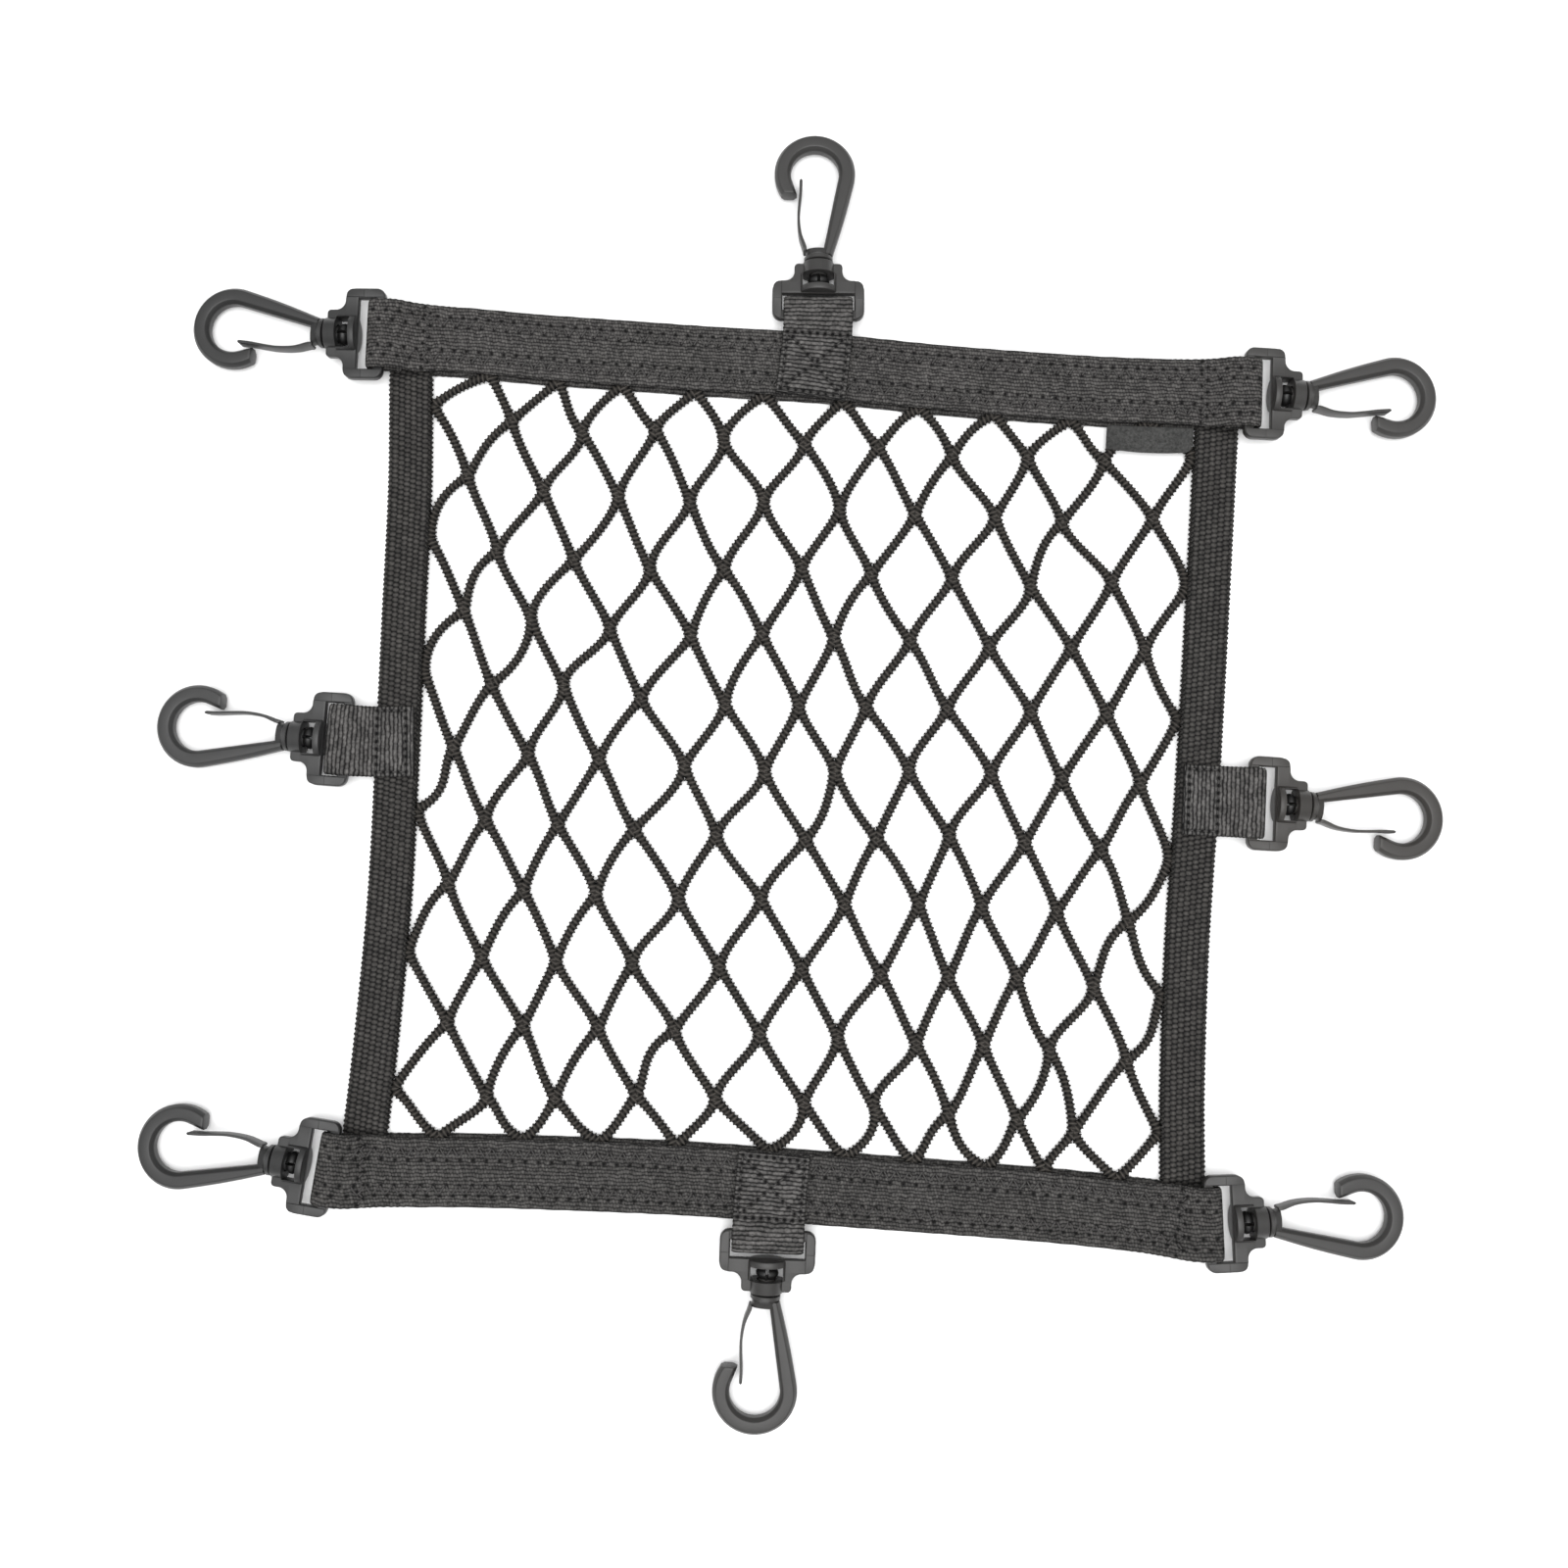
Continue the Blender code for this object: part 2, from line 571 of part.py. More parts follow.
def side_middle(which, y):
    column = 1 if which == "left" else 2
    points = [(line[0], line[column]) for line in SIDE_LINES][::-1]
    return through(points, y)


def loop_path(fold, layer):
    """A strap's middle line round a bar: from under it, out round the fold, to the top of it.

    The points are (distance from the bar towards the netting, height).
    """
    out = BAR_MIDDLE - fold + layer / 2
    offset = FRAME_HALF_HEIGHT + GAP + 0.1 + layer / 2
    low, high = BAR_HEIGHT - offset, BAR_HEIGHT + offset
    return [
        (2.0, low),
        (out + 2.2, low + 0.1),
        (out + 0.7, low + 1.0),
        (out, BAR_HEIGHT),
        (out + 0.7, high - 1.0),
        (out + 2.2, high - 0.1),
        (2.0, high),
    ]


def band_mesh(which):
    """A wide band: a belt of webbing round the bars of its two corner hooks."""
    points, _, _ = band_line(which)
    start, end = points[0][0], points[-1][0]
    low, high = LAYER / 2, LAYER * 1.5 + SLIT
    under = [(11.0, low), (9.3, low + 0.4), (4.2, BAR_HEIGHT - 2.9)]
    over = [(6.0, BAR_HEIGHT + 2.1), (12.0, high + 2.3), (18.0, high + 0.8), (25.0, high)]
    end_path = under + loop_path(BAND_FOLD, LAYER) + over
    left = [(start + run, height) for run, height in end_path]
    right = [(end - run, height) for run, height in end_path][::-1]
    spans = 10
    first, last = left[-1][0], right[0][0]
    top = [(first + (last - first) * k / spans, high) for k in range(1, spans)]
    bottom = [(last + (first - last) * k / spans, low) for k in range(spans + 1)]

    def place(point, across):
        y, slope = band_middle(which, point[0])
        length = math.hypot(1.0, slope)
        return point[0] - across * slope / length, y + across / length, point[1]

    path = left + top + right + bottom
    return sheet_mesh("band", path, (-BAND_WIDTH / 2, BAND_WIDTH / 2), place, closed=True)


def side_mesh(which):
    """A side band: webbing folded over the edge of the netting, between the two wide bands."""
    inside, outside = -SIDE_WIDTH / 2, SIDE_WIDTH / 2 - LAYER / 2
    low, high = LAYER / 2, LAYER * 1.5 + SLIT
    section = ((inside, low), (outside, low), (outside, high), (inside, high))
    outwards = -1 if which == "left" else 1
    stations = 10
    shares = [k / stations for k in range(stations + 1)]

    def place(point, share):
        across, height = point
        x = side_middle(which, 0.0)[0] + outwards * across
        ends = [inner_edge("bottom", x) + GAP + 0.2, inner_edge("top", x) - GAP - 0.2]
        y = ends[0] + (ends[1] - ends[0]) * share
        return side_middle(which, y)[0] + outwards * across, y, height

    return sheet_mesh("side", section, shares, place)


def tab_mesh(name, end_x, end_y, fold):
    """A tab: webbing folded round a bar, both its layers sewn down on a band."""
    row = hook_row(name)
    bar_x, bar_y = beside_collar(row, BAR_MIDDLE)
    inwards = math.radians(row[3] + 180)
    forward, sideways = (math.cos(inwards), math.sin(inwards)), (-math.sin(inwards), math.cos(inwards))
    length = (end_x - bar_x) * forward[0] + (end_y - bar_y) * forward[1]
    aside = (end_x - bar_x) * sideways[0] + (end_y - bar_y) * sideways[1]

    def place(point, across):
        run, height = point
        shift, slope = through([(0.0, 0.0), (length, aside)], max(run, 0.0), 0.0, 1.5 * aside / length)
        run -= across * slope
        shift += across
        x, y = (a + run * b + shift * c for a, b, c in zip((bar_x, bar_y), forward, sideways))
        return x, y, height

    lower = BAND_TOP + GAP + TAB_LAYER / 2
    upper = lower + TAB_LAYER + GAP
    loop = loop_path(fold, TAB_LAYER)
    path = (
        [(length, lower), (length * 0.5, lower), (3.6, lower)]
        + loop
        + [(5.0, (upper + loop[-1][1]) / 2), (8.0, upper + 0.2), (length * 0.6, upper), (length, upper)]
    )
    return sheet_mesh("tab", path, (-TAB_WIDTH / 2, TAB_WIDTH / 2), place)


# ---------------------------------------------------------------- netting
def inner_edge(which, place_along):
    """The edge of a band that faces the netting: its y, or its x for a side band."""
    if which in ("top", "bottom"):
        inwards = -1 if which == "top" else 1
        return band_middle(which, place_along)[0] + inwards * BAND_WIDTH / 2
    inwards = 1 if which == "left" else -1
    return side_middle(which, place_along)[0] + inwards * SIDE_WIDTH / 2


def crossing(column, row):
    """The place of a crossing."""
    return NET[row][column // 2][:2]


def cord_at(upper, lower, y):
    """The x of a cord between two crossings at height y, and its half width across."""
    x0, y0, right, _, left = NET[upper[1]][upper[0] // 2]
    x1, y1, last_right, last_left, _ = NET[lower[1]][lower[0] // 2]
    first, last = (right, last_right) if lower[0] > upper[0] else (left, last_left)
    part = min(max((y0 - y) / (y0 - y1), 0.0), 1.0)
    x = x0 + (x1 - x0) * part * part * (3 - 2 * part)
    x += first * part * (1 - part) ** 2 - last * part * part * (1 - part)
    run = 6 * (x1 - x0) * part * (1 - part)
    run += first * (1 - part) * (1 - 3 * part) + last * part * (3 * part - 2)
    near = min(abs(y0 - y), abs(y - y1))
    half = CORD_WIDTH / 2 + CROSSING_SWELL * math.exp(-((near / SWELL_REACH) ** 2))
    return x, half * math.hypot(1.0, run / (y0 - y1))


def cell_side(column, row, y, side):
    """The x of a mesh's left (-1) or right (1) side at height y."""
    outer = column + side
    if outer < 0 or outer > HALF_COLUMNS:
        which = "left" if side < 0 else "right"
        return inner_edge(which, y) + side * BORDER_INSET
    corner_y = crossing(outer, row)[1]
    if (y > corner_y and row > 0) or row == ROWS:
        x, half = cord_at((column, row - 1), (outer, row), y)
    else:
        x, half = cord_at((outer, row), (column, row + 1), y)
    return x - side * half


def cell_width(column, row, y):
    return cell_side(column, row, y, 1) - cell_side(column, row, y, -1)


def cell_corner(column, row, inside, outside):
    """The height between two others at which a mesh closes to its narrowest."""
    for _ in range(30):
        y = (inside + outside) / 2
        if cell_width(column, row, y) > NARROWEST_CORNER:
            inside = y
        else:
            outside = y
    return inside


def cell_outline(column, row):
    """The outline of one opening of the net, by its half column and row."""
    if row == 0:
        high = min(crossing(c, 0)[1] for c in (column - 1, column + 1) if 0 < c < HALF_COLUMNS)
    else:
        high = crossing(column, row - 1)[1]
    if row == ROWS:
        low = max(crossing(c, ROWS)[1] for c in (column - 1, column + 1) if 0 < c < HALF_COLUMNS)
    else:
        low = crossing(column, row + 1)[1]
    middle = (high + low) / 2
    middle = crossing(max(column - 1, 0) if column else 1, row)[1] if 0 < row < ROWS else middle
    top = high if row == 0 else cell_corner(column, row, middle, high)
    bottom = low if row == ROWS else cell_corner(column, row, middle, low)
    sides = []
    for side in (1, -1):
        heights = [top + (bottom - top) * share for share in CELL_SHARES]
        sides.append([(cell_side(column, row, y, side), y) for y in heights])
    right, left = sides[0], sides[1][::-1]
    ends = []
    for y, flat, inwards in ((top, row == 0, -1), (bottom, row == ROWS, 1)):
        sides = [(cell_side(column, row, y, side), y) for side in (-1, 1)]
        centre = ((sides[0][0] + sides[1][0]) / 2, y)
        if flat and column in (0, HALF_COLUMNS):  # a corner of the net is cut off
            corner = sides.pop(0 if column == 0 else 1)
            turn = CORNER_CUT if column == 0 else -CORNER_CUT
            cut_off = [(corner[0], y + inwards * CORNER_CUT), (corner[0] + turn, y)]
            sides = cut_off + sides if column == 0 else sides + cut_off[::-1]
        ends.append(sides if flat else [centre])
    return ends[0] + right + ends[1][::-1] + left


def border_outline():
    """The outer edge of the netting's hem, clockwise from the top left."""
    outline = []
    steps = 6
    for which, outwards in (("top", 1), ("bottom", -1)):
        corners = []
        for end, sign in (("left", 1), ("right", -1)):
            y = inner_edge(which, 0.0)
            x = inner_edge(end, y) - sign * BORDER_INSET
            outer = x - sign * (HEM_WIDTH - BORDER_INSET)
            corner = [
                (outer, inner_edge(which, x) - outwards * 3.0),
                (x - sign * 2.5, inner_edge(which, x) + outwards * HEM_CORNER),
                (x + sign * 3.0, inner_edge(which, x) + outwards * HEM_WIDTH),
            ]
            corners.append(corner)
        (a, b, first), (c, d, last) = corners
        along = [first[0] + (last[0] - first[0]) * k / steps for k in range(1, steps)]
        edge = [(x, inner_edge(which, x) + outwards * HEM_WIDTH) for x in along]
        run = [a, b, first, *edge, last, d, c]
        outline += run if which == "top" else run[::-1]
        if which == "top":
            outline += side_border("right", steps)
    return outline + side_border("left", steps)[::-1]


def side_border(which, steps):
    """The outer edge of the hem inside a side band, from the top down."""
    outwards = -1 if which == "left" else 1
    high, low = inner_edge("top", 0.0) - 25.0, inner_edge("bottom", 0.0) + 25.0
    heights = [high + (low - high) * k / steps for k in range(steps + 1)]
    return [(inner_edge(which, y) + outwards * HEM_WIDTH, y) for y in heights]


def pinch_edges(mesh):
    """Flatten the netting to a thin hem where it runs in between the layers of the bands."""
    shape = bmesh.new()
    shape.from_mesh(mesh)
    for which in ("top", "bottom", "left", "right"):
        level = which in ("top", "bottom")
        inwards = 1 if which in ("bottom", "left") else -1
        for depth in (PINCH_END, PINCH_START):
            shifts = []
            for vertex in shape.verts:
                along = (vertex.co.x if level else vertex.co.y) / MM
                shifts.append((inner_edge(which, along) + inwards * depth) * MM)
            for vertex, shift in zip(shape.verts, shifts):
                vertex.co -= Vector((0.0, shift, 0.0) if level else (shift, 0.0, 0.0))
            cut(shape, (0.0, 0.0, 0.0), (0.0, 1.0, 0.0) if level else (1.0, 0.0, 0.0))
            for vertex in shape.verts:
                along = (vertex.co.x if level else vertex.co.y) / MM
                shift = (inner_edge(which, along) + inwards * depth) * MM
                vertex.co += Vector((0.0, shift, 0.0) if level else (shift, 0.0, 0.0))
    for vertex in shape.verts:
        x, y, z = (value / MM for value in vertex.co)
        out = min(
            inner_edge("top", x) - y,
            y - inner_edge("bottom", x),
            x - inner_edge("left", y),
            inner_edge("right", y) - x,
        )
        full = min(max((out - PINCH_END) / (PINCH_START - PINCH_END), 0.0), 1.0)
        hem = HEM_BOTTOM + HEM_THICKNESS * z / CORD_THICKNESS
        vertex.co.z = (hem + (z - hem) * full) * MM
    shape.to_mesh(mesh)
    shape.free()


def net_mesh():
    openings = [
        cell_outline(column, row)
        for row in range(ROWS + 1)
        for column in range(HALF_COLUMNS + 1)
        if (column + row) % 2 == 0
    ]
    mesh = outline_mesh("netting", [border_outline(), *openings], CORD_THICKNESS / 2)
    mesh.transform(Matrix.Translation((0.0, 0.0, CORD_THICKNESS / 2 * MM)))
    pinch_edges(mesh)
    return mesh


def label_mesh():
    """A plain label that hangs from the inner edge of the top band."""
    left, right, low, corner = (LABEL[key] for key in ("left", "right", "low", "corner"))
    top = [(x, inner_edge("top", x) - GAP) for x in (left, (left + right) / 2, right)]
    outline = top + [(right, low + corner), (right - corner, low + 0.6)]
    outline += [((left + right) / 2, low - LABEL["sag"] + 0.6), (left + corner / 2, low)]
    mesh = outline_mesh("label", [outline], LABEL_THICKNESS / 2)
    height = CORD_THICKNESS + GAP + LABEL_THICKNESS / 2
    mesh.transform(Matrix.Translation((0.0, 0.0, height * MM)))
    return mesh


CORD = ((0.030, 0.026, 0.023), 0.9)
WEBBING = ((0.050, 0.047, 0.045), 0.85)
SIDE_WEBBING = ((0.032, 0.030, 0.028), 0.9)
LABEL_TAPE = ((0.075, 0.075, 0.073), 0.7)


def main():
    clear_scene()
    parts = collection("cargo_net")
    whole = bpy.data.objects.new("cargo_net_middle", None)
    parts.objects.link(whole)
    whole.location = (-ORIGIN_X * MM, -ORIGIN_Y * MM, 0.0)
    place(bpy.data.objects.new("netting", net_mesh()), parts, CORD, whole)
    for which in ("top", "bottom"):
        band = thicken(bpy.data.objects.new(f"band_{which}", band_mesh(which)), LAYER)
        place(band, parts, WEBBING, whole)
    for which in ("left", "right"):
        side = thicken(bpy.data.objects.new(f"side_{which}", side_mesh(which)), LAYER)
        place(side, parts, SIDE_WEBBING, whole)
    for name, end_x, end_y, fold in TABS:
        mesh = tab_mesh(name, end_x, end_y, fold)
        tab = thicken(bpy.data.objects.new(f"tab_{name}", mesh), TAB_LAYER)
        place(tab, parts, WEBBING, whole)
    place(bpy.data.objects.new("label", label_mesh()), parts, LABEL_TAPE, whole)
    for row in HOOKS:
        build_snap_hook(row, parts, whole)


main()
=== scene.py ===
"""Cargo net: a square of knotless netting edged with webbing, with eight swivel snap hooks.

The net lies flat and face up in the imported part's frame. Each section below makes one piece, or a
group of like pieces, in the order in which the net is put together. Sizes are in millimetres,
measured from the middle of the netting.
"""

import math

import bmesh
import bpy
import numpy as np
from mathutils import Matrix, Vector


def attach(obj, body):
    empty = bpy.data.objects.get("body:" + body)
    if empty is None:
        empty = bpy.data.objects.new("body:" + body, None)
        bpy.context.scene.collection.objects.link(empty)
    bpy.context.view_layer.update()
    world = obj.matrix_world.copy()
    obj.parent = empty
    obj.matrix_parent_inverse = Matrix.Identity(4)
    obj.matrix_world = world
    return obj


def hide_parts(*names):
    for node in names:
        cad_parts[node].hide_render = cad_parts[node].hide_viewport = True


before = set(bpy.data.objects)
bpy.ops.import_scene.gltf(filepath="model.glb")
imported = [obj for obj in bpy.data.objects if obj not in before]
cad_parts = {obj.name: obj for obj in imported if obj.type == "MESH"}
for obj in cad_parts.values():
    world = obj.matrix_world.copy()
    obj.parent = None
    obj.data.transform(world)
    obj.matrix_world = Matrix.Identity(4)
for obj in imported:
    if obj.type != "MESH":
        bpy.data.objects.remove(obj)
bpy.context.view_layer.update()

# ---------------------------------------------------------------- surface, light and camera
# The net lies on a plain white surface, lit softly from above, and is seen from a little in front
# of straight above it.
MM = 0.001
ORIGIN = np.array((4.9, 6.2, 0.0))  # the part's origin, from the middle of the netting
SURFACE_SIZE, SURFACE_DROP = 16000.0, 0.2
SURFACE_TONE, SURFACE_ROUGHNESS, SURFACE_GLOSS = 0.92, 0.9, 0.1
GLOW = (0.25, 0.85, 0.55, 1.60)  # where it starts and ends to brighten, and how bright it is there
BACKDROP_GLOW = 1.25  # how bright the surroundings look, seen directly
SOFTBOX_PLACE, SOFTBOX_SIZE, SOFTBOX_POWER = (0.0, -0.25, 1.6), 1.6, 26.0
CAMERA_DISTANCE, CAMERA_TILT, CAMERA_TURN = 567.38, 4.1, 3.7
CAMERA_LENS, CAMERA_SENSOR, CAMERA_NEAR = 36.0, 36.0, 10.0


def placed(name, data):
    """An object in the scene for a mesh, a curve, a lamp or a camera."""
    thing = bpy.data.objects.new(name, data)
    bpy.context.scene.collection.objects.link(thing)
    return thing


def shader_tree(owner):
    """The empty node tree of a material or of the world."""
    owner.use_nodes = True
    tree = owner.node_tree
    tree.nodes.clear()
    return tree


def lay_surface():
    """A wide white sheet, just under the net."""
    mesh = bpy.data.meshes.new("surface")
    form = bmesh.new()
    bmesh.ops.create_grid(form, x_segments=1, y_segments=1, size=SURFACE_SIZE / 2 * MM)
    form.to_mesh(mesh)
    form.free()
    white = bpy.data.materials.new("white paper")
    tree = shader_tree(white)
    paper = tree.nodes.new("ShaderNodeBsdfPrincipled")
    paper.inputs["Base Color"].default_value = (SURFACE_TONE, SURFACE_TONE, SURFACE_TONE, 1.0)
    paper.inputs["Roughness"].default_value = SURFACE_ROUGHNESS
    paper.inputs["Specular IOR Level"].default_value = SURFACE_GLOSS
    out = tree.nodes.new("ShaderNodeOutputMaterial")
    tree.links.new(paper.outputs[0], out.inputs["Surface"])
    mesh.materials.append(white)
    surface = placed("surface", mesh)
    surface.location.z = -SURFACE_DROP * MM


def hang_softbox():
    """A square softbox that faces the middle of the net."""
    lamp = bpy.data.lights.new("softbox above", "AREA")
    lamp.shape, lamp.size, lamp.energy = "SQUARE", SOFTBOX_SIZE, SOFTBOX_POWER
    box = placed("softbox above", lamp)
    box.location = SOFTBOX_PLACE
    box.rotation_euler = (-Vector(SOFTBOX_PLACE)).to_track_quat("-Z", "Y").to_euler()


def studio_glow():
    """What the net mirrors: white overhead, greyer near the horizon. Seen directly it is white."""
    world = bpy.data.worlds.new("studio")
    bpy.context.scene.world = world
    tree = shader_tree(world)
    where = tree.nodes.new("ShaderNodeTexCoord")
    height = tree.nodes.new("ShaderNodeSeparateXYZ")
    tree.links.new(where.outputs["Generated"], height.inputs[0])
    level = tree.nodes.new("ShaderNodeMapRange")
    level.interpolation_type = "SMOOTHSTEP"
    for name, value in zip(("From Min", "From Max", "To Min", "To Max"), GLOW):
        level.inputs[name].default_value = value
    tree.links.new(height.outputs["Z"], level.inputs["Value"])
    ray = tree.nodes.new("ShaderNodeLightPath")
    strength = tree.nodes.new("ShaderNodeMix")
    tree.links.new(ray.outputs["Is Camera Ray"], strength.inputs["Factor"])
    tree.links.new(level.outputs[0], strength.inputs["A"])
    strength.inputs["B"].default_value = BACKDROP_GLOW
    glow = tree.nodes.new("ShaderNodeBackground")
    tree.links.new(strength.outputs["Result"], glow.inputs["Strength"])
    out = tree.nodes.new("ShaderNodeOutputWorld")
    tree.links.new(glow.outputs[0], out.inputs["Surface"])


def set_camera():
    """The camera leans back from straight above, and is turned a little to the left."""
    tilt, turn = math.radians(CAMERA_TILT), math.radians(CAMERA_TURN)
    right = Vector((math.cos(turn), math.sin(turn), 0.0))
    level = Vector((-math.sin(turn), math.cos(turn), 0.0))
    forward = level * math.sin(tilt) - Vector((0.0, 0.0, math.cos(tilt)))
    lens = bpy.data.cameras.new("camera")
    lens.sensor_fit, lens.sensor_width, lens.lens = "HORIZONTAL", CAMERA_SENSOR, CAMERA_LENS
    lens.clip_start = CAMERA_NEAR * MM
    camera = placed("camera", lens)
    axes = Matrix((right, right.cross(forward), -forward)).transposed().to_4x4()
    axes.translation = (-forward * CAMERA_DISTANCE - Vector(ORIGIN)) * MM
    camera.matrix_world = axes
    bpy.context.scene.camera = camera


lay_surface()
hang_softbox()
studio_glow()
set_camera()
bpy.context.scene.view_settings.view_transform = "Standard"

# ---------------------------------------------------------------- netting
# Knotless netting: soft dark cord, knitted in two rows of loops, whose cords are knitted into one
# another where they cross. Its edges are sewn between the two layers of the webbing all round.
CORD_WIDTH, CORD_THICKNESS = 3.2, 2.9
CORD_POINTS, CORD_EASING = 31, 6  # from one crossing to the next, and how often they are eased
CROSSING_SWELL, SWELL_REACH = 0.5, 3.5
LOOP_PITCH, LOOP_STEPS = 1.65, 3
LOOP_SLANT = 1 / 6  # how far the loops turn between a cord's side and its middle
LOOP_RISE = 0.6  # how far they stand up, as a share of how far they stand out
CORD_APART = 240 * LOOP_PITCH  # between the places of two cords in the flat cloth
HALF_COLUMNS, ROWS = 20, 12
GAP = 0.3  # between two pieces
HEM_BOTTOM, HEM_THICKNESS = 1.6, 1.1
PINCH_START, PINCH_END = 2.0, 0.4  # where a cord is flattened, from the webbing's inner edge
BAND_WIDTH, SIDE_WIDTH = 25.4, 15.7
SLOT_END, FRAME_END = -18.3, -21.7
BAR_MIDDLE = (SLOT_END + FRAME_END) / 2
CORD_ROUGHNESS, CORD_GLOSS, CORD_RELIEF = 0.9, 0.2, 0.6
# painted shade in the gaps between the loops and at the cord's rims, then the yarn's own colour on
# top
CORD_GAP_SHADE, CORD_LIGHT = (0.001, 0.001, 0.001), (0.052, 0.047, 0.042)
# The cord's section, from under its left side over the top: across in half widths, height in
# thicknesses, how far the loops stand out there, and their phase.
CORD_SECTION = (
    # across, height, swell, phase
    (-0.60, 0.00, 0.00, 0.00),
    (-0.98, 0.40, 0.50, 0.00),
    (-0.66, 0.86, 0.30, 0.06),
    (0.00, 0.97, 0.16, 0.17),
    (0.66, 0.86, 0.30, 0.28),
    (0.98, 0.40, 0.50, 0.33),
    (0.60, 0.00, 0.00, 0.00),
)
HOOKS = (
    # name, x, y, facing, gate, lean
    ("top_left", -177.6, 153.4, 181.9, -1, -4.0),
    ("top", 0.3, 191.3, 93.2, -1, 0.7),
    ("top_right", 179.6, 153.2, 1.3, 1, -3.8),
    ("left", -177.4, 5.2, 179.6, 1, 0.5),
    ("right", 187.4, 3.7, 0.4, 1, 2.0),
    ("bottom_left", -170.4, -144.4, 174.7, 1, -3.2),
    ("bottom", 5.2, -178.8, 271.5, 1, 2.4),
    ("bottom_right", 178.6, -143.3, 5.2, -1, -0.9),
)
BAND_LINES = (
    # x, top, bottom
    (-130.0, 154.6, -145.8),
    (-100.0, 153.9, -144.2),
    (-50.0, 153.4, -142.5),
    (0.0, 153.5, -142.1),
    (50.0, 151.9, -142.6),
    (100.0, 151.3, -143.0),
    (135.0, 152.2, -144.4),
)
SIDE_LINES = (
    # y, left, right
    (-155.0, -141.0, 150.5),
    (-132.0, -140.3, 149.9),
    (-100.0, -139.2, 148.4),
    (-50.0, -138.6, 147.7),
    (0.0, -140.0, 148.7),
    (50.0, -141.8, 149.3),
    (100.0, -143.5, 149.6),
    (141.0, -146.4, 149.8),
    (165.0, -147.6, 150.0),
)
